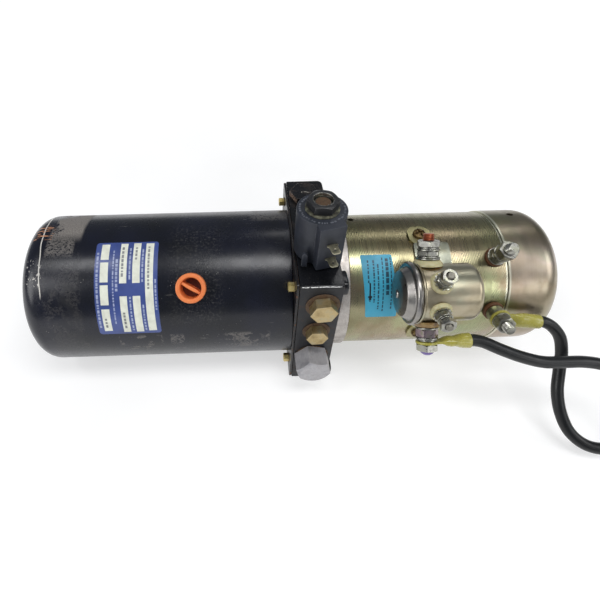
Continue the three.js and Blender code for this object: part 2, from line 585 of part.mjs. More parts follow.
function stud(radius, from, to, headRadius) {
  return turned([[0, from], [headRadius, from], [headRadius, from + 3], [radius, from + 3], [radius, to - 1],
    [radius - 1, to], [0, to]], 16, 'z');
}

studAngles().forEach((angle, i) => {
  const body = radially(stud(MOTOR_STUD.radius, MOTOR_STUD.root, MOTOR_STUD.tip, 5.4), MOTOR_STUD.x, angle);
  part(driveLine, `motor_stud_${['upper', 'lower'][i]}`, body, 'brightZinc');
});

// ---- start relay ----------------------------------------------------------------------------------------
const relay = new THREE.Group();
relay.position.set(0, RELAY.y, RELAY.z);
root.add(relay);

function relayCan() {
  const { radius: R, wall, x0, x1 } = RELAY;
  const r = 5;
  const profile = [
    [0, x1 - wall], ...quarter(R - r, x1 - r, r - wall, 90, 0, 1), [R - wall, x0], [R, x0],
    ...quarter(R - r, x1 - r, r, 0, 90, 2), [0, x1],
  ];
  const holes = RELAY_STUD.angles.map((a) => radially(rod(4.6, R - 6, R + 6, 12, 'z'), RELAY_STUD.x, a));
  return cut(turned(profile, 24), ...holes);
}

function relayCap() {
  const { rim, x0 } = RELAY;
  const back = x0 - GAP;
  const dome = [[0, -12], [2.2, -12], [3, -11], [11, -10.4], [16.2, -8.6], [19, -3.6]];
  const crimp = [[rim - 0.6, -3], [rim, -2.2], [rim, -0.4], [rim - 0.6, 0], [0, 0]];
  return turned([...dome, ...crimp].map(([r, s]) => [r, back + s]), 24);
}

function relayBracket() {
  const { r0, r1, x0, x1, earX, earHalf, plate, ears } = BRACKET;
  const strip = (half, from, to) => {
    const arc = (radius, a, b) => Array.from({ length: 11 }, (_, i) =>
      new THREE.Vector2(...around(radius, RELAY.tilt + a + ((b - a) * i) / 10)));
    const outline = [...arc(r1, half, -half), ...arc(r0, -half, half)];
    return plateAcrossX(THREE.ShapeUtils.isClockWise(outline) ? outline.reverse() : outline, [], from, to);
  };
  return join(strip(plate, x0, x1), strip(ears, earX - earHalf, earX + earHalf));
}

part(driveLine, 'relay_bracket', relayBracket(), 'brightZinc');
part(relay, 'relay_can', relayCan(), 'brightZinc');
part(relay, 'relay_cap', relayCap(), 'brightZinc');
const plungerProfile = [[0, 70], [9, 70], [9, 72], [2.5, 72], [2.5, 88], [7, 88], [7, 100], [0, 100]];
part(relay, 'relay_plunger', turned(plungerProfile, 14), 'copper');
part(relay, 'relay_spring', spring(4, 0.6, 102.8, 111.4, 3).rotateY(Math.PI / 2), 'steel');
RELAY_STUD.angles.forEach((angle, i) => {
  const body = radially(stud(RELAY_STUD.radius, RELAY_STUD.root, RELAY_STUD.tip, 5), RELAY_STUD.x, angle);
  part(relay, `relay_stud_${['upper', 'lower'][i]}`, body, 'copper');
});

// ---- jumper cable and its lugs --------------------------------------------------------------------------
// The lug lies flat in the X-Y plane with its eye at the origin, and its barrel points along +X.
function lug() {
  const start = LUG.reach - LUG.barrelLength;
  const eye = rod(LUG.eye, -LUG.thick / 2, LUG.thick / 2, 20, 'z');
  const neck = new THREE.BoxGeometry(start + 3, 9, LUG.thick).translate((start + 3) / 2, 0, 0);
  const profile = [[0, start], [3.6, start], [LUG.barrel, start + 5], [LUG.barrel, LUG.reach], [0, LUG.reach]];
  const barrel = turned(profile, 16);
  return cut(join(eye, neck, barrel), rod(LUG.hole, -2, 2, 14, 'z'));
}

const relayLug = lug().translate(0, 0, RELAY_STUD.lugAt);
part(relay, 'lug_relay', radially(relayLug, RELAY_STUD.x, RELAY_STUD.angles[1]), 'lugSleeve');
const motorLug = lug().rotateZ(degrees(-6.6)).translate(0, 0, MOTOR_STUD.lugAt);
part(driveLine, 'lug_motor', radially(motorLug, MOTOR_STUD.x, studAngles()[1]), 'lugSleeve');
part(root, 'jumper_cable', tube(CABLE_ROUTE, CABLE.radius, 0, CABLE.steps, CABLE.sides), 'rubber');

export default root;
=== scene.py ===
"""The looks of the hydraulic power unit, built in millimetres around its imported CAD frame."""
import math
import random
from functools import reduce

import bmesh
import bpy
import numpy as np
from mathutils import Matrix, Vector


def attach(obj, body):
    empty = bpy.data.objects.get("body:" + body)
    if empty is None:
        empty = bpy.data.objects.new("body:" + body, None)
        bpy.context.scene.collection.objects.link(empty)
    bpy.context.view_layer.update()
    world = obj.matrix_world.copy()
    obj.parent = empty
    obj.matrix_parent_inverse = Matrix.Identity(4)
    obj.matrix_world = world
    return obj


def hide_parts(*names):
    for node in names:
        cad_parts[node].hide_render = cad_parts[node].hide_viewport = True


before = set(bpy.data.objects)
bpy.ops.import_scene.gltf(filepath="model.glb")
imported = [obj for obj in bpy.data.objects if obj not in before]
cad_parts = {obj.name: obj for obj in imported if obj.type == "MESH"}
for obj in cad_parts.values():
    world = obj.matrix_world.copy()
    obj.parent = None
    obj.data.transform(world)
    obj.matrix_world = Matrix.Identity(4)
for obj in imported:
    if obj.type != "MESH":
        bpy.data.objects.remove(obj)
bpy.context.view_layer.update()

MM = 0.001
AXIS_Z = 63.5  # height of the shaft axis
HALF = 63.5  # half the side of the square block
BLOCK_X0, BLOCK_X1 = -14.0, 18.0  # the block's tank side and motor side
GAP = 0.3  # left between neighbours
FLANGE_X0, FLANGE_X1 = -16.3, BLOCK_X0 - GAP
TANK_MOUTH = FLANGE_X0 - GAP
TANK_RADIUS = 63.2
FILLER_X, FILLER_ANGLE = -94.5, 45
MOTOR_RADIUS = 57.15
RELAY_Y, RELAY_Z = -62.4, 115.4  # the start relay's axis
RELAY_STUD_X, RELAY_ANGLES = 79.5, (127.0, -47.0)
MOTOR_STUD_X, MOTOR_ANGLES = 145.0, (61.3, 17.7)
VENT_ANGLE = 109
VALVE_X, VALVE_Y = 2.8, -25.4  # the solenoid valve's axis
COIL_TURN, COIL_Z0, COIL_Z1 = 13.5, 128.4, 167.0
TOP_PLUG, TOP_PLUG_TURN = (-0.3, 41.0), -7.0  # the painted plug on the block's top
PORT = (2, 0, 80)
RELIEF_PLACE = (1, 37.5)
BEVEL_SLOPE = 0.55  # how far a hexagon's chamfer drops for each mm outwards


# ---- camera --------------------------------------------------------------------------------------
def add_camera():
    data = bpy.data.cameras.new("camera")
    data.sensor_width = 36.0
    data.lens = 25.8
    data.shift_x = 0.0688
    data.shift_y = -0.0646
    data.clip_start = 0.01
    camera = bpy.data.objects.new("camera", data)
    right = Vector((0.99937, -0.03503, -0.00563))
    up = Vector((0.02917, 0.72106, 0.69225))
    back = Vector((-0.02019, -0.69198, 0.72163))
    turn = Matrix((right, up, back)).transposed().to_4x4()
    turn.translation = Vector((-0.0491, -0.2596, 0.3594))
    camera.matrix_world = turn
    bpy.context.scene.collection.objects.link(camera)
    bpy.context.scene.camera = camera


add_camera()


# ---- places --------------------------------------------------------------------------------------
def place(origin, z, x=(1, 0, 0)):
    """A local frame, in mm: its z axis along z and its x axis as near x as it can be."""
    z = Vector(z).normalized()
    x = Vector(x)
    x = (x - z * x.dot(z)).normalized()
    m = Matrix((x, z.cross(x), z)).transposed().to_4x4()
    m.translation = Vector(origin)
    return m


def radial(x, angle, y=0.0, z=AXIS_Z):
    """Straight out from an axis along X, at an angle above the front."""
    a = math.radians(angle)
    return place((x, y, z), (0, -math.cos(a), math.sin(a)))


def along_x(y=0.0, z=AXIS_Z):
    return place((0, y, z), (1, 0, 0), (0, -1, 0))


def forward(x, z):
    return place((x, 0, z), (0, -1, 0))


def upward(x=0.0, y=0.0):
    return place((x, y, 0), (0, 0, 1))


def spun(at, degrees):
    return at @ Matrix.Rotation(math.radians(degrees), 4, "Z")


# ---- meshes --------------------------------------------------------------------------------------
def mesh_object(name, verts, faces, at=None, sharp=30.0):
    data = bpy.data.meshes.new(name)
    at = at or Matrix.Identity(4)
    data.from_pydata([(at @ Vector(v)) * MM for v in verts], [], [tuple(int(i) for i in f) for f in faces])
    tidy_mesh(data, sharp)
    obj = bpy.data.objects.new(name, data)
    bpy.context.scene.collection.objects.link(obj)
    return obj


def tidy_mesh(data, sharp=30.0):
    bm = bmesh.new()
    bm.from_mesh(data)
    bmesh.ops.remove_doubles(bm, verts=bm.verts, dist=1e-7)
    bmesh.ops.recalc_face_normals(bm, faces=bm.faces)
    bm.to_mesh(data)
    bm.free()
    data.polygons.foreach_set("use_smooth", [True] * len(data.polygons))
    data.set_sharp_from_angle(angle=math.radians(sharp))
    data.update()


def dress(obj, look, body="unit", replaces=None):
    """Gives a piece its material and its body, and hides the CAD part it replaces."""
    obj.data.materials.clear()
    obj.data.materials.append(M[look])
    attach(obj, body)
    if replaces:
        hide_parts(replaces)
    return obj


def revolve(rows, n=96, closed=False):
    """A turned form: each row is (radius, height), and a radius may change round the turn."""
    angle = np.arange(n) * 2 * math.pi / n
    verts, rings, faces = [], [], []
    for r, h in rows:
        r = np.broadcast_to(np.asarray(r, float), (n,))
        h = np.broadcast_to(np.asarray(h, float), (n,))
        first = len(verts)
        if r.max() < 1e-6:
            verts.append((0.0, 0.0, float(h[0])))
            rings.append([first])
        else:
            verts += list(zip(r * np.cos(angle), r * np.sin(angle), h))
            rings.append(list(range(first, first + n)))
    for a, b in zip(rings, rings[1:] + (rings[:1] if closed else [])):
        for i in range(n):
            j = (i + 1) % n
            if len(a) == 1 and len(b) > 1:
                faces.append((a[0], b[j], b[i]))
            elif len(b) == 1 and len(a) > 1:
                faces.append((a[i], a[j], b[0]))
            elif len(a) > 1:
                faces.append((a[i], a[j], b[j], b[i]))
    return verts, faces


def soft(points, steps=4):
    """Rounds the corners of a (radius, height) outline where a point names a third number, its rounding."""
    out = []
    for i, p in enumerate(points):
        if len(p) < 3 or not p[2]:
            out.append(tuple(p[:2]))
            continue
        b = Vector(p[:2])
        u = (Vector(points[i - 1][:2]) - b).normalized()
        v = (Vector(points[(i + 1) % len(points)][:2]) - b).normalized()
        half = math.acos(max(-1.0, min(1.0, u.dot(v)))) / 2
        centre = b + (u + v).normalized() * (p[2] / math.sin(half))
        start = b + u * (p[2] / math.tan(half)) - centre
        end = b + v * (p[2] / math.tan(half)) - centre
        sweep = math.atan2(start.x * end.y - start.y * end.x, start.dot(end))
        for k in range(steps + 1):
            t = sweep * k / steps
            c, s = math.cos(t), math.sin(t)
            out.append((centre.x + c * start.x - s * start.y, centre.y + s * start.x + c * start.y))
    return out


def lathe(name, points, at, n=96, closed=False, sharp=30.0, steps=4):
    return mesh_object(name, *revolve(soft(points, steps), n, closed), at, sharp)


def ring(name, inner, outer, h0, h1, at, n=64, edge=0.2):
    points = [(outer, h0, edge), (outer, h1, edge), (inner, h1, edge), (inner, h0, edge)]
    return lathe(name, points, at, n, closed=True, steps=3)


def hexagon(flats, n=96, corner=1.14):
    """Radii of a hexagon across flats, its corners on the local x axis' sixths, blunted a little."""
    angle = np.arange(n) * 2 * math.pi / n
    r = flats / 2 / np.cos(angle % (math.pi / 3) - math.pi / 6)
    return np.minimum(r, flats / 2 * corner)


def hex_head(name, flats, h0, h1, at, chamfer=0.95, corner=1.145):
    """A solid hexagon head with its outer face at h1."""
    r = hexagon(flats, corner=corner)
    flat = np.minimum(r - 0.15, flats / 2 * chamfer)
    top = h1 - (r - flat) * BEVEL_SLOPE
    rows = [(0, h1), (flat - 0.5, h1), (flat, h1), (r, top), (r, h0), (0, h0)]
    return mesh_object(name, *revolve(rows), at, 24.0)


def nut(name, flats, h0, h1, hole, at, chamfer=0.95):
    r = hexagon(flats)
    flat = flats / 2 * chamfer
    drop = np.maximum(r - flat, 0) * BEVEL_SLOPE
    rows = [(hole, h0 + 0.4), (hole + 0.4, h0), (flat, h0), (r, h0 + drop), (r, h1 - drop), (flat, h1),
            (hole + 0.4, h1), (hole, h1 - 0.4)]
    return mesh_object(name, *revolve(rows, closed=True), at, 24.0)


def threaded(name, radius, h0, h1, at, pitch=1.25, depth=0.55, n=40, tip=0.8):
    """A threaded rod with a chamfered outer end."""
    count = max(4, int((h1 - h0) / pitch * 6))
    turn = np.arange(n) / n
    rows = [(0, h0)]
    for i in range(count + 1):
        h = h0 + (h1 - h0) * i / count
        phase = (h / pitch - turn) % 1.0
        r = radius - depth * np.abs(2 * phase - 1)
        rows.append((np.minimum(r, radius - tip + (h1 - h)), h))
    rows.append((0, h1))
    return mesh_object(name, *revolve(rows, n), at, 40.0)


def plate(name, outlines, z0, z1, at, edge=0.2, sharp=30.0):
    """A flat plate cut to an outline, with holes as further outlines, and softened edges."""
    curve = bpy.data.curves.new(name, "CURVE")
    curve.dimensions = "2D"
    curve.fill_mode = "BOTH"
    curve.extrude = (z1 - z0) / 2 - edge
    curve.bevel_depth = edge
    curve.offset = -edge
    curve.bevel_resolution = 2
    for points in outlines:
        spline = curve.splines.new("POLY")
        spline.points.add(len(points) - 1)
        for p, q in zip(spline.points, points):
            p.co = (q[0], q[1], 0, 1)
        spline.use_cyclic_u = True
    holder = bpy.data.objects.new(name, curve)
    bpy.context.scene.collection.objects.link(holder)
    bpy.context.view_layer.update()
    data = bpy.data.meshes.new_from_object(holder.evaluated_get(bpy.context.evaluated_depsgraph_get()))
    bpy.data.objects.remove(holder)
    middle = (z0 + z1) / 2
    bm = bmesh.new()
    bm.from_mesh(data)
    bmesh.ops.remove_doubles(bm, verts=bm.verts, dist=1e-3)
    verts = [(v.co.x, v.co.y, v.co.z + middle) for v in bm.verts]
    faces = [[v.index for v in f.verts] for f in bm.faces]
    bm.free()
    return mesh_object(name, verts, faces, at, sharp)


def circle(radius, n=64, x=0.0, y=0.0):
    turn = [2 * math.pi * i / n for i in range(n)]
    return [(x + radius * math.cos(a), y + radius * math.sin(a)) for a in turn]


def rounded_box(x0, y0, x1, y1, r, steps=5):
    out = []
    right, top, left, bottom = x1 - r, y1 - r, x0 + r, y0 + r
    for cx, cy, start in ((right, top, 0), (left, top, 90), (left, bottom, 180), (right, bottom, 270)):
        for k in range(steps + 1):
            a = math.radians(start + 90 * k / steps)
            out.append((cx + r * math.cos(a), cy + r * math.sin(a)))
    return out


def settle(obj, sharp=30.0):
    """Applies a piece's modifiers to its mesh."""
    bpy.context.view_layer.update()
    data = bpy.data.meshes.new_from_object(obj.evaluated_get(bpy.context.evaluated_depsgraph_get()))
    obj.modifiers.clear()
    obj.data = data
    tidy_mesh(data, sharp)
    return obj


def combine(obj, tools, operation="DIFFERENCE", sharp=30.0):
    for tool in tools:
        change = obj.modifiers.new("cut", "BOOLEAN")
        change.operation = operation
        change.solver = "EXACT"
        change.object = tool
    settle(obj, sharp)
    for tool in tools:
        bpy.data.objects.remove(tool)
    return obj


def drill(radius, h0, h1, at, n=48):
    return mesh_object("tool", *revolve([(0, h0), (radius, h0), (radius, h1), (0, h1)], n), at)


def wrap_patch(name, x0, x1, a0, a1, inner, outer, corner, across=24):
    """A thin patch wrapped round the shaft axis, from angle a0 to a1, with rounded corners."""
    span = math.radians(a1 - a0) * outer
    stations = {0.0, span}
    for k in range(9):
        s = corner * (1 - math.cos(math.pi / 2 * k / 8))
        stations |= {s, span - s}
    plain = max(2, int(span / 1.2))
    stations |= {corner + (span - 2 * corner) * k / plain for k in range(plain + 1)}
    stations = sorted(stations)
    stations = [s for i, s in enumerate(stations) if i == 0 or s - stations[i - 1] > 1e-4]
    columns = across + 1
    verts, faces = [], []
    for r in (outer, inner):
        for s in stations:
            d = corner - min(s, span - s)
            inset = corner - math.sqrt(max(corner * corner - d * d, 0)) if d > 0 else 0.0
            a = math.radians(a0) + s / outer
            for c in range(columns):
                x = x0 + inset + (x1 - x0 - 2 * inset) * c / across
                verts.append((x, -r * math.cos(a), AXIS_Z + r * math.sin(a)))
    rows = len(stations)
    layer = rows * columns
    for i in range(rows - 1):
        for c in range(across):
            k = i * columns + c
            faces.append((k, k + 1, k + columns + 1, k + columns))
            faces.append((layer + k, layer + k + columns, layer + k + columns + 1, layer + k + 1))
    rim = [c for c in range(columns)] + [i * columns + across for i in range(1, rows)]
    rim += [(rows - 1) * columns + c for c in range(across - 1, -1, -1)]
    rim += [i * columns for i in range(rows - 2, 0, -1)]
    for p, q in zip(rim, rim[1:] + rim[:1]):
        faces.append((p, layer + p, layer + q, q))
    return mesh_object(name, verts, faces)


# ---- materials -----------------------------------------------------------------------------------
def shade(hexadecimal):
    """A linear colour from an sRGB hex number."""
    out = []
    for shift in (16, 8, 0):
        c = ((hexadecimal >> shift) & 255) / 255
        out.append(c / 12.92 if c <= 0.04045 else ((c + 0.055) / 1.055) ** 2.4)
    return (*out, 1.0)


class Look:
    """A material made of nodes. An input is a number, a colour or another node's output."""

    def __init__(self, name, metallic=0.0, roughness=0.5, **sockets):
        self.material = bpy.data.materials.new(name)
        self.material.use_nodes = True
        self.tree = self.material.node_tree
        self.shader = self.tree.nodes["Principled BSDF"]
        self.shader.inputs["Metallic"].default_value = metallic
        self.shader.inputs["Roughness"].default_value = roughness
        for key, value in sockets.items():
            self.shader.inputs[key.replace("_", " ")].default_value = value
        self.spot = None

    def add(self, kind, inputs=None, out=0, **settings):
        node = self.tree.nodes.new("ShaderNode" + kind)
        for key, value in settings.items():
            setattr(node, key, value)
        for key, value in (inputs or {}).items():
            self.feed(node.inputs[key], value)
        return node.outputs[out]

    def feed(self, socket, value):
        if isinstance(value, bpy.types.NodeSocket):
            self.tree.links.new(value, socket)
        else:
            socket.default_value = value

    def set(self, name, value):
        self.feed(self.shader.inputs[name], value)

    def point(self):
        """The place on the object in the row frame, in mm."""
        if self.spot is None:
            where = self.add("TexCoord", out=3)
            self.spot = self.add("VectorMath", {0: where, "Scale": 1000.0}, operation="SCALE")
        return self.spot

    def math(self, operation, a, b=0.0, clamp=False):
        return self.add("Math", {0: a, 1: b}, operation=operation, use_clamp=clamp)

    def axis(self, i, vector=None):
        return self.add("SeparateXYZ", {0: vector or self.point()}, out=i)

    def vector(self, x, y, z):
        return self.add("CombineXYZ", {0: x, 1: y, 2: z})

    def stretched(self, sx, sy, sz, vector=None):
        return self.add("VectorMath", {0: vector or self.point(), 1: (sx, sy, sz)}, operation="MULTIPLY")

    def round_axis(self, y=0.0, z=AXIS_Z):
        """(x, degrees above the front, radius) about an axis along X."""
        dy = self.math("SUBTRACT", y, self.axis(1))
        dz = self.math("SUBTRACT", self.axis(2), z)
        angle = self.math("DEGREES", self.math("ARCTAN2", dz, dy))
        r = self.math("SQRT", self.plus(self.times(dy, dy), self.times(dz, dz)))
        return self.axis(0), angle, r

    def noise(self, scale, vector=None, detail=3.0, rough=0.55, distort=0.0, out=0):
        """Cloudy noise; scale is in cycles per mm."""
        return self.add("TexNoise", {"Vector": vector or self.point(), "Scale": scale, "Detail": detail,
                                     "Roughness": rough, "Distortion": distort}, out)

    def cells(self, scale, vector=None, out=0):
        return self.add("TexVoronoi", {"Vector": vector or self.point(), "Scale": scale}, out=out)

    def remap(self, value, a, b, c=0.0, d=1.0, smooth=False):
        return self.add("MapRange", {"Value": value, "From Min": a, "From Max": b, "To Min": c,
                                     "To Max": d}, interpolation_type="SMOOTHSTEP" if smooth else "LINEAR")

    def band(self, value, a, b, fade):
        """1 between a and b, fading to 0 over fade on both sides."""
        rise = self.remap(value, a - fade, a, smooth=True)
        fall = self.remap(value, b, b + fade, 1.0, 0.0, smooth=True)
        return self.math("MULTIPLY", rise, fall)

    def times(self, *values):
        return reduce(lambda a, b: self.math("MULTIPLY", a, b), values)

    def most(self, *values):
        return reduce(lambda a, b: self.math("MAXIMUM", a, b), values)

    def plus(self, a, b):
        return self.math("ADD", a, b)

    def minus(self, a, b):
        return self.math("SUBTRACT", a, b)

    def ramp(self, value, *stops):
        out = self.add("ValToRGB", {0: value})
        ramp = out.node.color_ramp
        while len(ramp.elements) < len(stops):
            ramp.elements.new(0.5)
        for element, (position, colour) in zip(ramp.elements, stops):
            element.position = position
            element.color = colour if len(colour) == 4 else (*colour, 1.0)
        return out

    def mix(self, factor, a, b, blend="MIX"):
        return self.add("Mix", {0: factor, 6: a, 7: b}, out=2, data_type="RGBA", blend_type=blend)

    def tint(self, mask, colour, tone):
        return self.mix(mask, colour, shade(tone))

    def mix_number(self, factor, a, b):
        return self.add("Mix", {0: factor, 2: a, 3: b}, data_type="FLOAT")

    def edges(self, width, low=0.04, high=0.3):
        """1 on sharp edges, 0 on open faces."""
        bevel = self.add("Bevel", {"Radius": width * MM}, samples=4)
        normal = self.add("NewGeometry", out=1)
        same = self.add("VectorMath", {0: bevel, 1: normal}, out=1, operation="DOT_PRODUCT")
        return self.remap(self.math("SUBTRACT", 1.0, same), low, high, smooth=True)

    def bump(self, height, distance, strength=1.0, normal=None):
        inputs = {"Height": height, "Distance": distance * MM, "Strength": strength}
        if normal is not None:
            inputs["Normal"] = normal
        return self.add("Bump", inputs)


RUST = 0x6B4326


def surface(name, tones, metallic=0.0, rough=(0.35, 0.5), cloud=0.08, grain=None, grain_bump=0.02,
            speck=0.0, rust=0.0, edge=None, edge_colour=None, bump=0.0, bump_scale=1.5, sockets=None):
    """A worn finish: clouded tones, directional grain, specks, rust and lighter edges, which are worn edges
    on most finishes and a painted edge highlight on the bracket ears.
    """
    look = Look(name, metallic, 0.5, **(sockets or {}))
    stops = [(0.3 + 0.4 * i / max(1, len(tones) - 1), shade(t)) for i, t in enumerate(tones)]
    colour = look.ramp(look.noise(cloud, detail=4.0), *stops)
    r = look.remap(look.noise(cloud * 3.1, detail=4.0), 0.3, 0.7, rough[0], rough[1])
    metal = None
    normal = None
    if grain:
        lines = look.noise(1.0, look.stretched(*grain), detail=2.0)
        colour = look.tint(look.remap(lines, 0.35, 0.65, 0.0, 0.35), colour, tones[0])
        r = look.plus(r, look.remap(lines, 0.3, 0.7, -0.06, 0.1))
        normal = look.bump(lines, grain_bump)
    if bump:
        normal = look.bump(look.noise(bump_scale, detail=2.0), bump, 1.0, normal)
    # lighter edges: wear on most finishes, a painted highlight on the bracket ears
    if edge:
        mask = look.times(look.edges(edge), look.remap(look.noise(0.6, detail=4.0), 0.35, 0.5, 0.25, 1.0))
        colour = look.tint(mask, colour, edge_colour)
        r = look.plus(r, look.times(mask, -0.08))
    if speck:
        dots = look.remap(look.noise(1.4, detail=5.0, rough=0.7), 0.66 - speck, 0.72 - speck)
        colour = look.tint(look.times(dots, 0.75), colour, RUST)
    if rust:
        patch = look.remap(look.noise(0.16, detail=6.0, rough=0.65, distort=0.6), 0.66 - rust, 0.8 - rust,
                           smooth=True)
        brown = look.ramp(look.noise(0.8, detail=5.0), (0.3, shade(0x4A2C1B)), (0.7, shade(0x8C5A2E)))
        colour = look.mix(patch, colour, brown)
        r = look.mix_number(patch, r, 0.75)
        metal = look.mix_number(patch, metallic, 0.0)
    look.set("Base Color", colour)
    look.set("Roughness", r)
    if metal is not None and metallic:
        look.set("Metallic", metal)
    if normal is not None:
        look.set("Normal", normal)
    return look.material


def tank_paint():
    """Satin black paint with torn grey tape residue by the closed end, dust, scuffed spots and scratches,
    and a painted orange glint of reflected light.
    """
    look = Look("tank_paint", 0.0, 0.3, Specular_IOR_Level=0.42)
    x, angle, _ = look.round_axis()

    def zone(along, round_it):
        """1 in a patch given by (from, to, fade) along the tank and the same in degrees round it."""
        return look.times(look.band(x, *along), look.band(angle, *round_it))

    around = look.vector(x, look.times(angle, 1.1), 0.0)
    blots = look.noise(0.045, around, detail=10.0, rough=0.66, distort=0.5)
    fine = look.noise(0.5, around, detail=6.0, rough=0.72)
    patchy = look.noise(0.03, around, detail=1.0)
    drift = look.stretched(9.0, 9.0, 9.0, look.noise(0.08, around, out=1))
    torn = look.cells(0.16, look.add("VectorMath", {0: around, 1: drift}, operation="ADD"), out=1)
    flake = look.remap(look.axis(0, torn), 0.35, 0.45)

    # tape residue
    top = look.times(zone((-207.0, -184.0, 3.0), (92.0, 150.0, 12.0)),
                     look.remap(look.plus(blots, look.times(fine, 0.2)), 0.55, 0.59))
    middle = look.times(zone((-207.0, -188.0, 2.5), (74.0, 94.0, 6.0)), look.remap(fine, 0.44, 0.52), 0.62)
    faint = look.times(zone((-206.0, -182.0, 4.0), (0.0, 60.0, 10.0)), flake, look.remap(fine, 0.44, 0.56),
                       0.12)
    smear = look.times(zone((-212.0, -182.0, 5.0), (-10.0, 70.0, 12.0)), look.remap(blots, 0.5, 0.53), 0.03)
    low_x = look.most(*(look.band(x, *ends) for ends in ((-70, -36, 2), (-154, -122, 2), (-114, -104, 1))))
    low = look.times(look.band(angle, -9.0, 7.0, 2.5), low_x,
                     look.remap(look.plus(blots, fine), 0.98, 1.06),
                     look.remap(look.axis(1, torn), 0.3, 0.4), 0.5)
    mouth = look.times(zone((-44.0, -16.0, 6.0), (104.0, 125.0, 6.0)), look.remap(fine, 0.42, 0.6), 0.5)
    film = look.most(top, middle, faint, smear, low, mouth)
    grey = look.ramp(look.noise(1.2, around, detail=4.0), (0.35, shade(0x55504C)), (0.65, shade(0x8C8782)))
    colour = look.ramp(look.noise(0.03), (0.3, shade(0x070910)), (0.7, shade(0x0E1120)))
    colour = look.mix(film, colour, grey)

    # dust
    dusty = look.most(look.band(x, -118.0, -60.0, 20.0), look.band(x, -216.0, -176.0, 8.0))
    specks = look.times(look.remap(look.cells(0.3, around), 0.05, 0.1, 1.0, 0.0),
                        look.remap(look.noise(0.03, around, detail=5.0), 0.5, 0.62),
                        look.remap(dusty, 0.0, 1.0, 0.25, 1.0))
    haze = look.times(zone((-105.0, -78.0, 12.0), (24.0, 88.0, 14.0)), look.remap(fine, 0.5, 0.75), 0.14)
    colour = look.tint(look.most(look.times(specks, 0.6), haze), colour, 0xA9A6A0)

    # scratches: a long one along the closed end's rim, scuffs beside it and fine streaks
    wander = look.minus(x, look.remap(angle, 47.0, 117.0, -209.4, -216.0))
    wander = look.plus(wander, look.remap(patchy, 0.3, 0.7, -1.0, 1.0))
    rim_line = look.times(look.band(wander, -0.25, 0.25, 0.3), look.band(angle, 44.0, 118.0, 5.0),
                          look.remap(fine, 0.3, 0.45, 0.35, 1.0))
    scratchy = look.noise(0.6, look.vector(x, look.times(angle, 0.6), 3.0), detail=5.0)
    scuffs = look.times(zone((-220.0, -210.0, 2.0), (50.0, 66.0, 3.0)), look.remap(scratchy, 0.58, 0.63),
                        0.8)
    lengthwise = look.noise(1.0, look.vector(look.times(x, 0.05), angle, 7.0), detail=2.0)
    streaks = look.times(look.remap(lengthwise, 0.7, 0.73), look.remap(patchy, 0.52, 0.62), 0.3)
    colour = look.tint(look.most(rim_line, scuffs, streaks), colour, 0xC9C5BE)
    # painted reflection: an orange glint near the top of the closed end, in a copper tone
    stroke = look.noise(0.5, look.vector(look.times(x, 0.25), look.times(angle, 1.5), 2.0), detail=1.0)
    copper = look.times(zone((-220.0, -207.0, 2.0), (86.0, 99.0, 2.0)), look.remap(stroke, 0.56, 0.6))
    colour = look.tint(copper, colour, 0xC08A68)

    look.set("Base Color", colour)
    rough = look.remap(blots, 0.3, 0.7, 0.22, 0.32)
    look.set("Roughness", look.mix_number(look.most(film, specks, scuffs), rough, 0.6))
    look.set("Normal", look.bump(film, 0.06, 1.0, look.bump(look.noise(0.9, detail=3.0), 0.01)))
    return look.material


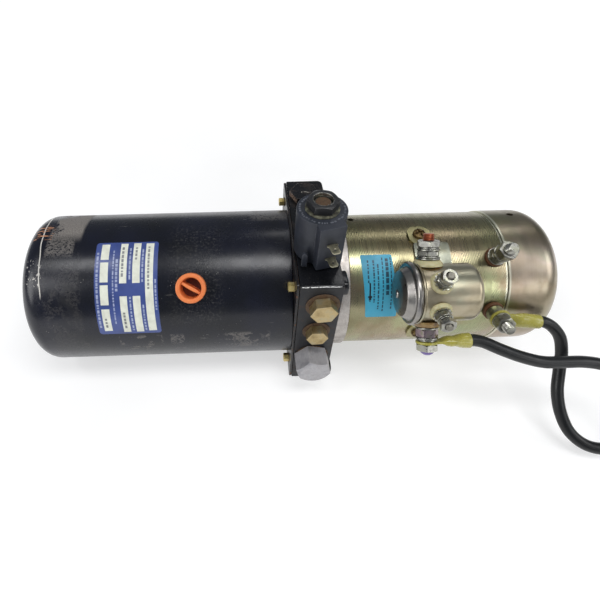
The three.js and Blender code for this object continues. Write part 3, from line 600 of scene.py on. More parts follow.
def block_paint():
    """Gloss black paint, fine bumps, rust along the edges and one bright worn ridge at the front, with a
    painted sheen on the front face and painted light on the top plug's left faces.
    """
    look = Look("block_paint", 0.0, 0.3, Specular_IOR_Level=0.3)
    x, y, z = (look.axis(i) for i in range(3))
    colour = look.ramp(look.noise(0.05, detail=5.0), (0.3, shade(0x0A0B0D)), (0.7, shade(0x131418)))
    front = look.times(look.remap(y, -62.6, -63.3), look.remap(z, 124.0, 122.5))
    # painted sheen: the front face is tinted a little lighter than the rest of the paint
    colour = look.tint(look.times(front, 0.8), colour, 0x1B1C20)

    fine = look.noise(0.7, detail=6.0, rough=0.7)
    worn = look.times(look.edges(1.0), look.remap(fine, 0.38, 0.5),
                      look.remap(look.noise(0.05), 0.4, 0.6, 0.3, 1.0))
    colour = look.mix(worn, colour, look.ramp(fine, (0.35, shade(0x46301F)), (0.7, shade(0x8C7A6A))))

    wavy = look.remap(look.noise(0.12, look.stretched(1.0, 0.0, 0.0)), 0.3, 0.7, -0.35, 0.35)
    broken = look.remap(look.noise(0.5, look.stretched(1.0, 0.0, 0.3)), 0.38, 0.46)
    ridge = look.times(look.band(look.plus(z, wavy), 126.0, 126.3, 0.22), look.remap(y, -60.5, -62.0),
                       look.band(x, -12.5, 15.5, 0.5), broken)
    colour = look.tint(ridge, colour, 0xE6E6E4)
    spotty = look.noise(0.7, look.stretched(0.8, 1.4, 1.0), detail=5.0)
    flecks = look.times(look.band(y, 39.2, 40.4, 0.6), look.band(x, -2.7, 4.6, 0.6),
                        look.remap(z, 131.0, 131.8), look.remap(spotty, 0.52, 0.56))
    colour = look.tint(look.times(flecks, 0.7), colour, 0xA8A49A)

    brown_top = look.times(look.remap(z, 126.0, 126.8), look.remap(y, -8.0, 10.0),
                           look.remap(look.noise(0.1, detail=6.0), 0.5, 0.66), 0.3)
    brown_front = look.times(look.band(z, 8.0, 114.0, 4.0), front,
                             look.remap(look.noise(0.14, detail=7.0, rough=0.65), 0.55, 0.62), 0.5)
    brown = look.most(brown_top, brown_front)
    colour = look.tint(brown, colour, 0x3E3128)
    dust = look.times(look.remap(fine, 0.62, 0.7), 0.35)
    colour = look.tint(dust, colour, 0x6A655E)
    # painted light: the top plug's left faces are tinted pale brown, as if lit, in patches
    lit_plug_side = look.times(look.band(z, 127.4, 131.4, 0.4), look.remap(x, -7.0, -9.0),
                        look.remap(fine, 0.42, 0.52), 0.7)
    colour = look.tint(lit_plug_side, colour, 0x9A8272)

    look.set("Base Color", colour)
    rough = look.plus(look.remap(look.noise(0.08), 0.3, 0.7, 0.14, 0.3), look.times(front, 0.22))
    look.set("Roughness", look.mix_number(look.most(worn, dust, brown), rough, 0.7))
    look.set("Normal", look.bump(look.noise(1.3, detail=3.0), 0.025, 0.8))
    return look.material


def zinc_case(name, lines, hatch, tones, stain, rough, seam_highlight):
    """Yellow-chromated zinc over a turned tube: fine lines, shifting tints, stains and rust, with a painted
    shade along the top and a painted highlight along the seam.
    """
    look = Look(name, 1.0, 0.35)
    x, angle, r = look.round_axis()
    flat = look.remap(r, 52.0, 46.0)

    def clouds(scale, seed, detail, squeeze=1.0, **more):
        """Noise that follows the tube round and turns into plain noise on a flat end."""
        along = look.times(x, squeeze) if squeeze != 1.0 else x
        return look.noise(scale, look.mix(flat, look.vector(along, angle, seed), look.point()), detail,
                          **more)

    stops = [(0.3 + 0.4 * i / (len(tones) - 1), shade(t)) for i, t in enumerate(tones)]
    colour = look.ramp(clouds(0.022, 3.0, 5.0, 0.6, distort=0.3), *stops)
    grain = look.vector(look.times(x, lines), look.times(angle, 0.06), look.times(flat, r))
    fine = look.noise(1.0, grain, detail=3.0, rough=0.6)
    colour = look.tint(look.remap(fine, 0.35, 0.7, 0.0, 0.15), colour, tones[0])
    colour = look.tint(look.times(look.remap(clouds(0.02, 9.0, 6.0), 0.48, 0.62), 0.5), colour, 0xAC9884)
    colour = look.tint(look.times(look.remap(clouds(0.024, 31.0, 6.0), 0.5, 0.62), 0.45), colour, 0xA3AE82)
    where = look.remap(clouds(0.022, 5.0, 3.0), 0.45, 0.6, 0.1, 1.0)
    grime = look.noise(0.5, detail=8.0, rough=0.75)
    dots = look.times(look.remap(grime, 0.64 - stain, 0.7 - stain), where)
    colour = look.tint(look.times(dots, 0.75), colour, 0x54381F)
    veil = look.times(look.remap(clouds(0.09, 15.0, 7.0, rough=0.65), 0.52, 0.66), where, 0.35)
    colour = look.tint(veil, colour, 0x8A6A4A)
    # painted shade: the upper side of the tube is tinted darker, as if in shadow, and the flat end is left
    # out
    shadow = look.times(look.band(angle, 78.0, 150.0, 18.0), 0.5, look.remap(r, 46.0, 52.0))
    colour = look.tint(shadow, colour, 0x6C6248)
    # painted highlight: a pale line along the seam, where its edge catches the light
    colour = look.tint(look.times(look.band(x, *seam_highlight, 0.3), 0.6), colour, 0xDCDCC8)
    look.set("Base Color", colour)

    polish = look.remap(look.noise(0.2, grain, detail=2.0), 0.3, 0.7, rough - 0.04, rough + 0.05)
    look.set("Roughness", look.mix_number(look.most(dots, veil), polish, 0.6))
    look.set("Metallic", look.mix_number(dots, 1.0, 0.2))
    normal = look.bump(look.noise(0.9, detail=3.0), 0.012)
    if hatch:
        slant = look.vector(look.minus(x, look.times(angle, 0.55)), 0.0, 0.0)
        ridges = look.add("TexWave", {"Vector": slant, "Scale": hatch, "Distortion": 0.6, "Detail": 1.0},
                          wave_type="BANDS", bands_direction="X")
        normal = look.bump(ridges, 0.022, 0.8, normal)
    look.set("Normal", look.bump(fine, 0.002, 1.0, normal))
    return look.material


def make_looks():
    return {
        "tank": tank_paint(),
        "block": block_paint(),
        "case": zinc_case("olive_zinc_turned", 2.2, 0.16, (0x726A50, 0x8E8A6E, 0x9A9276, 0x949876), 0.03,
                          0.27, (153.4, 154.7)),
        "cap": zinc_case("olive_zinc_drawn", 0.8, 0.0, (0x7E755E, 0x988E7A, 0xA89C90, 0x9C9E88), 0.0, 0.32,
                         (155.0, 156.6)),
        "flange": surface("flange_paint", (0x0E0E10, 0x1A1A1C), rough=(0.22, 0.42), bump=0.03, edge=1.0,
                          edge_colour=0x7C6454, rust=0.08, sockets={"Specular_IOR_Level": 0.35}),
        "yellow": surface("yellow_zinc", (0xA38E5A, 0xC4AE74, 0xC6BC96), 1.0, (0.26, 0.42), cloud=0.25,
                          edge=0.5, edge_colour=0xE0CF98, speck=0.02, bump=0.01),
        "yellow_rusty": surface("yellow_zinc_rusty", (0x98855E, 0xB7A47A, 0xAAA288), 1.0, (0.4, 0.54),
                                cloud=0.16, edge=0.6, edge_colour=0xCDBF98, speck=0.04, rust=0.03,
                                bump=0.02),
        "bolt": surface("bolt_zinc", (0xC8B070, 0xE0CC88, 0xD8C898), 1.0, (0.42, 0.5), cloud=0.3),
        "washer_rust": surface("rusty_washer", (0x33261C, 0x54402C, 0x4C4434), 0.3, (0.55, 0.8), cloud=0.5,
                               speck=0.1, bump=0.08),
        "bright": surface("bright_zinc", (0x7F7E79, 0x9C9B94, 0x9A9A88), 1.0, (0.24, 0.4), cloud=0.2,
                          edge=0.4, edge_colour=0xC8C8C2, speck=0.03, bump=0.01),
        "tip": surface("stud_tip", (0x6A6862, 0x86837A, 0x7C7970), 1.0, (0.48, 0.6), cloud=0.4, speck=0.04),
        "pink": surface("tinted_zinc", (0x8B7C82, 0xAE9AA0, 0x9E9B88), 1.0, (0.24, 0.4), cloud=0.2,
                        edge=0.4, edge_colour=0xE8E0DE, speck=0.03),
        "relay": surface("relay_plate", (0x867C64, 0xA89E88, 0xA0A08C), 1.0, (0.3, 0.38), cloud=0.04,
                         speck=-0.01, rust=-0.05, bump=0.002, bump_scale=0.4),
        "mirror": surface("relay_cap_plate", (0x7A7878, 0x96938E, 0x8C8886), 1.0, (0.26, 0.38), cloud=0.1,
                          rust=-0.04, bump=0.003, bump_scale=0.5),
        "bracket": surface("bracket_plate", (0x6E7066, 0x8C8E80, 0x84826E), 1.0, (0.26, 0.42), cloud=0.08,
                           edge=0.7, edge_colour=0xCFD2C0, speck=0.03),
        "steel": surface("machined_steel", (0x6A6A69, 0x868684), 1.0, (0.28, 0.42), cloud=0.2,
                         grain=(0.2, 2.0, 2.0), speck=0.01),
        "adapter": surface("adapter_aluminium", (0xA09A95, 0xBDB8B3, 0xB0AAA6), 1.0, (0.34, 0.52),
                           cloud=0.1, grain=(2.4, 0.2, 0.2), speck=0.075, rust=0.03, bump=0.04,
                           bump_scale=0.5),
        "relief": surface("relief_aluminium", (0x939296, 0xB2B0B2, 0xA6A3A5), 0.55, (0.4, 0.55), cloud=0.12,
                          grain=(2.4, 0.15, 0.8), edge=0.6, edge_colour=0xD8D6D8, speck=0.01, rust=-0.02),
        "cast": surface("cast_aluminium", (0x7E7E7E, 0x999997), 1.0, (0.45, 0.65), cloud=0.3, bump=0.12,
                        bump_scale=0.9),
        "coil": surface("coil_plastic", (0x191C24, 0x22262F, 0x272A33), 0.0, (0.4, 0.55), cloud=0.07,
                        edge=0.7, edge_colour=0x7A7C84, bump=0.02, bump_scale=2.2, rust=-0.06,
                        sockets={"Specular_IOR_Level": 0.45}),
        "nut_black": surface("nut_plastic", (0x0D0E10, 0x16171A), 0.0, (0.34, 0.5), cloud=0.15, edge=0.5,
                             edge_colour=0x77767A, bump=0.03),
        "marks": surface("coil_marks", (0x43464E, 0x62656D), 0.0, (0.5, 0.7)),
        "cream": surface("cream_insulator", (0x958A62, 0xB5AA82, 0xA89E78), 0.0, (0.35, 0.5), cloud=0.15,
                         speck=0.03, bump=0.02, sockets={"Subsurface_Weight": 0.1}),
        "tan": surface("tan_insulator", (0x5E4526, 0x8A6E40, 0x9A8450), 0.0, (0.35, 0.5), cloud=0.2,
                       speck=0.03, bump=0.02),
        "spade": surface("spade_plate", (0x8A8672, 0xA8A48E, 0x9A967E), 1.0, (0.3, 0.45), cloud=0.3,
                         edge=0.4, edge_colour=0xB4B09C, speck=0.04),
        "dirty_washer": surface("dirty_washer", (0x1E1E1C, 0x4A4A3C, 0x7C7C68), 0.2, (0.5, 0.75),
                                cloud=0.35, speck=0.05, bump=0.05),
        "fibre": surface("brown_fibre", (0x38200F, 0x5E3819, 0x482B16), 0.0, (0.5, 0.75), cloud=0.4,
                         speck=0.08, bump=0.06),
        "copper": surface("tarnished_copper", (0x7C3E28, 0xA65F42, 0x8C4F3A), 0.8, (0.35, 0.55), cloud=0.5,
                          speck=0.05, bump=0.05),
        "orange": surface("orange_plastic", (0xD46E38, 0xE28048), 0.0, (0.42, 0.55), cloud=0.06,
                          speck=-0.02, bump=0.012, bump_scale=2.5, sockets={"Subsurface_Weight": 0.08}),
        # painted shade for the filler plug's recess: a darkened copy of the orange
        "orange_in_shade": surface("orange_in_shade", (0x3A1A10, 0x5E2A18, 0x6E3218), 0.0, (0.5, 0.7), cloud=0.2,
                               speck=0.02, bump=0.03),
        "sleeve": surface("lug_sleeve", (0x8C8638, 0xA19A45, 0x97923F), 0.0, (0.22, 0.36), cloud=0.15,
                          bump=0.03, bump_scale=0.5, sockets={"Coat_Weight": 0.35, "Coat_Roughness": 0.15}),
        "cable": surface("cable_rubber", (0x08090A, 0x0E1012), 0.0, (0.32, 0.44), cloud=0.1, bump=0.02,
                         bump_scale=0.8, sockets={"Specular_IOR_Level": 0.4}),
        "rubber": surface("seal_rubber", (0x131313, 0x1D1D1D), 0.0, (0.5, 0.65)),
        "screw": surface("rusty_screw", (0x3A2A1A, 0x5E4A2C, 0x8B7A48), 0.7, (0.4, 0.6), cloud=0.8,
                         speck=0.06, bump=0.05),
        # painted highlight: the bracket ears' pale edge colour stands for light caught along their outline
        "ear": surface("ear_zinc", (0x807A58, 0x9C9670, 0x938C68), 1.0, (0.28, 0.42), cloud=0.1, edge=0.6,
                       edge_colour=0xCFCB94, speck=0.02),
        "purple": surface("paint_mark", (0x5D4C8C, 0x7A68A6), 0.0, (0.3, 0.45), cloud=0.4, bump=0.05),
        "ferrite": surface("ferrite", (0x222224, 0x303033), 0.0, (0.6, 0.8), bump=0.05),
        "carbon": surface("carbon", (0x1C1C1D, 0x2B2B2C), 0.2, (0.5, 0.65), bump=0.04),
        "laminate": surface("laminations", (0x4A3A28, 0x6E5740), 0.5, (0.5, 0.65), grain=(3.0, 0.1, 0.1)),
        "phenolic": surface("phenolic", (0x4E2F1A, 0x6B4426), 0.0, (0.45, 0.6), cloud=0.3),
        "mesh": surface("strainer_mesh", (0x8C8672, 0xB0AA94), 0.8, (0.45, 0.6), grain=(3.0, 0.3, 0.3),
                        bump=0.1, bump_scale=3.0),
        "label": surface("label_blue", (0x2C3B6C, 0x354681, 0x3B4C88), 0.0, (0.28, 0.4), cloud=0.05,
                         sockets={"Coat_Weight": 0.3, "Coat_Roughness": 0.2}),
        "label_cream": surface("label_cream", (0xC8C9BC, 0xDCDED0), 0.0, (0.4, 0.5), cloud=0.2, speck=0.02),
        "label_mark": surface("label_mark", (0x7D86A6, 0xA0A8C4), 0.0, (0.4, 0.5), cloud=0.3),
        "typed": surface("typed_mark", (0x6C6E70, 0x8A8C8C), 0.0, (0.5, 0.7)),
        "sticker": surface("sticker_blue", (0x3098BA, 0x40A8C8, 0x48A4C0), 0.0, (0.4, 0.52), cloud=0.06,
                           rust=-0.06),
        "sticker_mark": surface("sticker_mark", (0x143C4E, 0x1C4E64), 0.0, (0.4, 0.5), cloud=0.3),
        "black_mark": surface("black_mark", (0x0C1418, 0x16222A), 0.0, (0.4, 0.5)),
    }


M = make_looks()


# ---- jumper cable and its lugs -------------------------------------------------------------------
CABLE_RADIUS = 4.5
ROUTE = [
    (111.5, -87.3, 88.7), (115, -87.3, 88.6), (121, -88.3, 87.7), (134.5, -92.9, 83.7),
    (150, -97.2, 79.4), (167.3, -99.7, 75.4), (182.9, -99.7, 74.4), (198.6, -99.6, 73.5),
    (214.3, -101.4, 70.9), (229.3, -106.1, 64.8), (240.9, -113.4, 55.3), (246.7, -122.9, 43.6),
    (246, -132.3, 31.1), (238.6, -139.4, 20.6), (225.4, -142.2, 14.1), (211, -138.7, 13.6),
    (200.5, -130.2, 17.9), (195.1, -118.6, 26.2), (193.8, -105.2, 36.9), (196.2, -92.8, 48.1),
    (197.8, -82.4, 59.5), (195.1, -74.4, 69.9), (187.5, -69.3, 77.3), (180.3, -67.5, 80.7),
    (176.9, -67.4, 81.1),
]


def through(points, per_span=8):
    """A centripetal Catmull-Rom curve through the points."""
    p = [Vector(q) for q in points]
    p = [p[0] * 2 - p[1], *p, p[-1] * 2 - p[-2]]
    out = []
    for a, b, c, d in zip(p, p[1:], p[2:], p[3:]):
        t0 = 0.0
        t1 = t0 + (b - a).length ** 0.5
        t2 = t1 + (c - b).length ** 0.5
        t3 = t2 + (d - c).length ** 0.5
        for k in range(per_span):
            t = t1 + (t2 - t1) * k / per_span
            a1 = a * ((t1 - t) / (t1 - t0)) + b * ((t - t0) / (t1 - t0))
            a2 = b * ((t2 - t) / (t2 - t1)) + c * ((t - t1) / (t2 - t1))
            a3 = c * ((t3 - t) / (t3 - t2)) + d * ((t - t2) / (t3 - t2))
            b1 = a1 * ((t2 - t) / (t2 - t0)) + a2 * ((t - t0) / (t2 - t0))
            b2 = a2 * ((t3 - t) / (t3 - t1)) + a3 * ((t - t1) / (t3 - t1))
            out.append(b1 * ((t2 - t) / (t2 - t1)) + b2 * ((t - t1) / (t2 - t1)))
    out.append(p[-2])
    return out


def cable():
    points = through(ROUTE)
    curve = bpy.data.curves.new("cable", "CURVE")
    curve.dimensions = "3D"
    curve.bevel_depth = CABLE_RADIUS * MM
    curve.bevel_resolution = 8
    curve.use_fill_caps = True
    spline = curve.splines.new("POLY")
    spline.points.add(len(points) - 1)
    for p, q in zip(spline.points, points):
        p.co = (*(q * MM), 1.0)
    spline.use_smooth = True
    obj = bpy.data.objects.new("cable", curve)
    bpy.context.scene.collection.objects.link(obj)
    length = sum((b - a).length for a, b in zip(points, points[1:])) * MM
    return dress(obj, "cable", replaces="jumper_cable"), length


def lug(name, at, node):
    """A crimped ring lug under a shrunk sleeve, flat in the local x-y plane with its barrel along x."""
    eye = plate(name + "_eye", [lug_outline(), circle(4.4, 40)], -0.9, 0.9, at, 0.25)
    dress(eye, "sleeve")
    stations = [(9.2, 4.9, 0.95, 3.4), (11.5, 5.3, 1.9, 3.0), (14.0, 5.6, 3.3, 2.6), (17.0, 6.2, 3.9, 2.2),
                (20.0, 6.5, 3.6, 2.0), (23.0, 6.0, 4.6, 2.0), (26.0, 5.75, 5.3, 2.0),
                (31.0, 5.7, 5.65, 2.0), (31.5, 5.5, 5.45, 2.0)]
    n = 40
    verts, faces, rings = [], [], []
    for x, w, t, power in stations:
        rings.append(len(verts))
        for i in range(n):
            a = 2 * math.pi * i / n
            c, s = math.cos(a), math.sin(a)
            verts.append((x, math.copysign(abs(c) ** (2 / power), c) * w,
                          math.copysign(abs(s) ** (2 / power), s) * t))
    for p, q in zip(rings, rings[1:]):
        faces += [(p + i, p + (i + 1) % n, q + (i + 1) % n, q + i) for i in range(n)]
    faces.append([rings[0] + i for i in range(n)])
    inner = len(verts)
    for x in (31.5, 29.0):
        verts += [(x, 4.6 * math.cos(2 * math.pi * i / n), 4.6 * math.sin(2 * math.pi * i / n))
                  for i in range(n)]
    faces += [(rings[-1] + i, rings[-1] + (i + 1) % n, inner + (i + 1) % n, inner + i) for i in range(n)]
    faces += [(inner + i, inner + (i + 1) % n, inner + n + (i + 1) % n, inner + n + i) for i in range(n)]
    faces.append([inner + n + i for i in range(n)])
    sleeve = mesh_object(name + "_sleeve", verts, faces, at, 45.0)
    dress(sleeve, "sleeve", replaces=node)
    return [eye, sleeve]


def lug_outline():
    arc = [(8.0 * math.cos(math.radians(a)), 8.0 * math.sin(math.radians(a))) for a in range(38, 323, 8)]
    return arc + [(9.0, -5.0), (14.0, -5.0), (14.0, 5.0), (9.0, 5.0)]


relay_down = radial(RELAY_STUD_X, RELAY_ANGLES[1], RELAY_Y, RELAY_Z)
motor_down = radial(MOTOR_STUD_X, MOTOR_ANGLES[1])
lugs = lug("lug_a", relay_down @ Matrix.Translation((0, 0, 36.5)), "lug_relay")
lugs += lug("lug_b", spun(motor_down @ Matrix.Translation((0, 0, 69.6)), -6.6), "lug_motor")
cord, cord_length = cable()


# ---- tank ----------------------------------------------------------------------------------------
BOLT_PLACES = ((-51, 49.5), (51, 49.5), (-51, -49.5), (51, -49.5))


def tank():
    r, end, wall = TANK_RADIUS, -228.0, 2.0
    points = [(0, end + 0.6), (34, end + 0.6, 3), (40, end, 3), (r, end, 14.0), (r, TANK_MOUTH, 0.3),
              (r - wall, TANK_MOUTH, 0.3),
              (r - wall, end + wall, 12.0), (0, end + wall)]
    shell = lathe("tank", points, along_x(), 180, steps=8)
    combine(shell, [drill(10.3, 50, 70, radial(FILLER_X, FILLER_ANGLE))])
    dress(shell, "tank", replaces="tank_shell")
    corner = rounded_box(-HALF, -HALF, HALF, HALF, 4.0)
    holes = [circle(58.0, 128)] + [circle(2.9, 24, y, z) for y, z in BOLT_PLACES]
    across = place((0, 0, AXIS_Z), (1, 0, 0), (0, 1, 0))
    flange = plate("tank_flange_plate", [corner] + holes, FLANGE_X0, FLANGE_X1, across, 0.45)
    dress(flange, "flange", replaces="tank_flange")
    for i, (y, z) in enumerate(BOLT_PLACES):
        at = place((0, y, AXIS_Z + z), (-1, 0, 0), (0, 1, 0.3 * i))
        bolt = hex_head(f"bolt_head_{i + 1}", 6.8, -TANK_MOUTH, 4.6 - TANK_MOUTH, at, 0.93)
        dress(bolt, "bolt", replaces=f"tank_bolt_{i + 1}")
        shank = threaded(f"bolt_shank_{i + 1}", 2.45, 4.8, -TANK_MOUTH, at, 0.8, 0.35, 24)
        dress(shank, "yellow")
        washer = ring(f"bolt_washer_{i + 1}", 2.6, 4.4, 16.34, -TANK_MOUTH, at, 40, 0.1)
        dress(washer, "washer_rust")


def filler():
    at = radial(FILLER_X, FILLER_ANGLE)
    seat = 63.5
    points = [(0, seat - 18), (8.8, seat - 18, 0.4), (9.6, seat - 16.5, 0.4), (9.6, seat),
              (11.5, seat, 0.5), (11.5, seat + 6, 1.1), (8.6, seat + 6, 0.6), (8.1, seat + 5, 0.3),
              (7.7, seat - 4.5, 1.2), (0, seat - 4.5)]
    body = lathe("filler_body", points, at, 96)
    dress(body, "orange", "filler", "filler_plug")
    blade = [(-7.9, -0.9), (-4, -1.3), (3, -1.3), (7.9, -0.7), (7.9, 0.9), (3, 1.2), (-4, 1.0), (-7.9, 0.8)]
    bar = plate("filler_blade", [blade], seat - 4.6, seat + 4.6, spun(at, -32), 0.25)
    dress(bar, "orange", "filler")
    # painted shade: a dark orange-brown floor at the bottom of the recess, slit where the blade stands
    floor = lathe("filler_shaded_floor", [(0, seat - 4.45), (7.3, seat - 4.4), (7.0, seat - 3.8, 0.2),
                                  (0, seat - 4.1)], at, 64)
    slit = plate("tool", [rounded_box(-9.5, -1.7, 9.5, 1.7, 0.3)], seat - 6.0, seat - 2.0, spun(at, -32),
                 0.05)
    dress(combine(floor, [slit]), "orange_in_shade", "filler")


tank()
filler()


# ---- block, plugs and solenoid valve -------------------------------------------------------------
def tie_places():
    a = math.radians(136)
    y, z = -37 * math.cos(a), 37 * math.sin(a)
    return [(y, z), (-y, -z)]


def block():
    at = along_x(0, AXIS_Z)
    body = plate("block_body", [rounded_box(-HALF, -HALF, HALF, HALF, 1.5, 6)], BLOCK_X0, BLOCK_X1, at, 0.6)
    ears = [plate("tool", [rounded_box(-8.6, -6.4, 8.6, 6.4, 4.2)], 10.0, 21.5,
                  place((0, -54.8, z), (1, 0, 0), (0, -1, 0)), 1.4) for z in (6.6, 2 * HALF - 6.6)]
    combine(body, ears, "UNION")
    shaft = along_x()
    tools = [drill(17, 4, 19, shaft), drill(14, -2, 5, shaft), drill(8.2, -15, 0, shaft),
             drill(7.2, -15, -3, along_x(0, AXIS_Z - 22))]
    tools += [drill(2.9, -15, -3, along_x(y, AXIS_Z + z), 24) for y, z in BOLT_PLACES]
    turn = [math.radians(a) for a in range(90, -1, -10)]
    arc = [(11.5 + 6.5 * math.cos(a), 57.0 + 6.5 * math.sin(a)) for a in turn]
    tools.append(plate("tool", [[(19, 64.5), (11.5, 64.5)] + arc + [(19, 57.0)]], -1, 128, upward(), 0.01))
    tools += [drill(3.5, 11.2, 19, along_x(y, AXIS_Z + z), 24) for y, z in tie_places()]
    for x, z, r, depth in ((4, 105.5, 7.2, 26), (2, 73, 6, 25), (1, 37.5, 10, 30)):
        tools.append(drill(r, HALF - depth, HALF + 1, forward(x, z)))
    tools.append(drill(9, HALF - 16, HALF + 1, place(PORT, (0, 1, 0))))
    tools += [drill(4.3, -1, 16, upward(2, y)) for y in (-38, 38)]
    tools += [drill(8.5, 97, 132, upward(VALVE_X, VALVE_Y)), drill(7.6, 118, 130, upward(*TOP_PLUG))]
    tools.append(mesh_object("tool", *revolve([(61.6, -15), (61.6, -12), (59, -12), (59, -15)], 128, True),
                             shaft))
    combine(body, tools)
    dress(body, "block", replaces="block")


def top_plug():
    at = spun(upward(*TOP_PLUG), TOP_PLUG_TURN)
    dress(hex_head("plug_d", 22.0, 127.02, 132.0, at, 1.1, 1.155), "block")
    dress(threaded("plug_d_shank", 7.4, 118.3, 127.1, at, 1.5, 0.5), "steel")


def plug(name, x, z, flats, out, shank, depth, node, look, washer, turn=0, back=False):
    at = place((x, 0, z), (0, 1, 0)) if back else spun(forward(x, z), turn)
    head = hex_head(name, flats, HALF + 0.9, HALF + out, at, 1.1, 1.155)
    dress(head, look, replaces=node)
    dress(ring(name + "_washer", shank + 0.2, washer, HALF + 0.02, HALF + 0.9, at, 72, 0.3), "washer_rust")
    dress(threaded(name + "_shank", shank, HALF - depth, HALF + 0.9, at, 1.5, 0.5), "steel")


def relief():
    at = spun(forward(*RELIEF_PLACE), -14)
    r = hexagon(26.0, 96, 1.155)
    tip, seat, flat = HALF + 18.2, HALF + 0.8, 12.5
    drop = np.maximum(r - flat, 0) * 0.6
    rows = [(0, tip), (flat - 0.6, tip), (flat, tip - 0.25), (r, tip - 0.25 - drop), (r, seat), (9.6, seat),
            (9.6, HALF - 13), (5, HALF - 13), (5, HALF + 4), (0, HALF + 4)]
    dress(mesh_object("relief_hex", *revolve(rows), at, 24.0), "relief",
          replaces="relief_cap")
    dress(ring("relief_washer", 9.8, 14.0, HALF + 0.02, HALF + 0.8, at, 72, 0.3), "washer_rust")


def coil_outline():
    """The coil's round body joined to its square terminal boss, which points along -y."""
    r, half, reach, c = 18.2, 9.8, 22.5, 1.0
    start = math.degrees(math.asin(half / r))
    arc = [(r * math.sin(math.radians(a)), -r * math.cos(math.radians(a)))
           for a in np.linspace(start, 360 - start, 90)]
    boss = [(-half, -reach + c), (-half + c * 0.3, -reach + c * 0.3), (-half + c, -reach),
            (half - c, -reach), (half - c * 0.3, -reach + c * 0.3), (half, -reach + c)]
    return arc + boss


def solenoid():
    at = upward(VALVE_X, VALVE_Y)
    turned = spun(at, COIL_TURN)
    body = plate("coil_body", [coil_outline(), circle(7.0, 48)], COIL_Z0, COIL_Z1, turned, 0.55)
    dress(body, "coil", replaces="coil")
    arch = [(-2.1, -6.5), (-2.1, 4.4), (-1.3, 5.9), (0, 6.5), (1.3, 5.9), (2.1, 4.4), (2.1, -6.5)]
    tab_at = turned @ place((-10.6, 1.5, 135.4), (-0.35, -1, 0), (1, 0, 0))
    tab = plate("coil_tab", [arch], 16.4, 19.2, tab_at, 0.6)
    dress(tab, "coil")
    random.seed(5)
    bars, a = [], 0.0
    while a < 352:
        span = random.choice((3.0, 5.0, 8.0))
        bars.append((a, a + span, random.choice((14.9, 15.4))))
        a += span + random.choice((2.6, 3.4, 7.0))
    verts, faces = [], []
    for a0, a1, r0 in bars:
        base = len(verts)
        for a in np.linspace(a0, a1, 4):
            c, s = math.cos(math.radians(a)), math.sin(math.radians(a))
            corners = ((r0, 166.9), (r0, 167.2), (r0 + 1.3, 167.2), (r0 + 1.3, 166.9))
            verts += [(c * r, s * r, h) for r, h in corners]
        for k in range(3):
            p, q = base + 4 * k, base + 4 * k + 4
            faces += [(p + i, p + (i + 1) % 4, q + (i + 1) % 4, q + i) for i in range(4)]
        faces += [tuple(range(base, base + 4)), tuple(range(base + 12, base + 16))]
    dress(mesh_object("coil_raised_bars", verts, faces, at), "marks")
    washer = [(7.4, 167.05, 0.2), (12.6, 167.05, 0.3), (12.2, 168.3, 0.4), (7.4, 168.5, 0.2)]
    dress(lathe("coil_washer", washer, at, 72, closed=True), "dirty_washer")
    dress(nut("coil_top_nut", 20.4, 168.6, 175.4, 7.4, spun(at, -6), 0.97), "nut_black",
          replaces="coil_nut")
    sleeve = [(6.95, 168.8), (7.38, 168.8), (7.38, 175.1), (7.1, 175.1, 0.1), (6.95, 174.7)]
    dress(lathe("coil_nut_sleeve", sleeve, at, 64, closed=True), "bright")
    stem = [(0, 158), (4.9, 158), (4.9, 98), (8.1, 98, 0.5), (8.1, 127.3), (11, 127.3, 0.4),
            (11, 128.1, 0.3), (6.5, 128.1), (6.5, 172.4, 1.0), (0, 172.4)]
    dress(lathe("valve_stem", stem, at, 64), "steel", replaces="valve_cartridge")
    face = [(0, 172.42), (5.2, 172.42), (5.6, 172.75, 0.2), (5.0, 172.95, 0.2), (0, 172.95)]
    dress(lathe("valve_stem_end", face, at, 48), "washer_rust")
    for name, z, node in (("blade_a", 151.8, "spade_upper"), ("blade_b", 139.0, "spade_lower")):
        w, y0 = 6.35 / 2, -22.3
        outline = [(w + 0.9, y0), (w + 0.9, y0 - 1.6), (w, y0 - 2.5), (w, y0 - 8.2), (w - 1.2, y0 - 9.5),
                   (1.2 - w, y0 - 9.5), (-w, y0 - 8.2), (-w, y0 - 2.5), (-w - 0.9, y0 - 1.6),
                   (-w - 0.9, y0)]
        blade = plate(name, [outline, circle(0.9, 20, 0, y0 - 5.5)], z, z + 0.8, turned, 0.12)
        dress(blade, "spade", replaces=node)


block()
plug("plug_a", 4, 105.5, 17.8, 9.2, 6.8, 11, "check_plug", "yellow_rusty", 13.0, 7)
plug("plug_b", 2, 73, 14.8, 8.2, 5.6, 12, "gallery_plug", "yellow_rusty", 11.0, 3)
plug("plug_c", 2, 80, 22.0, 8.3, 8.6, 10, "port_plug", "yellow", 13.5, back=True)
relief()
top_plug()
solenoid()


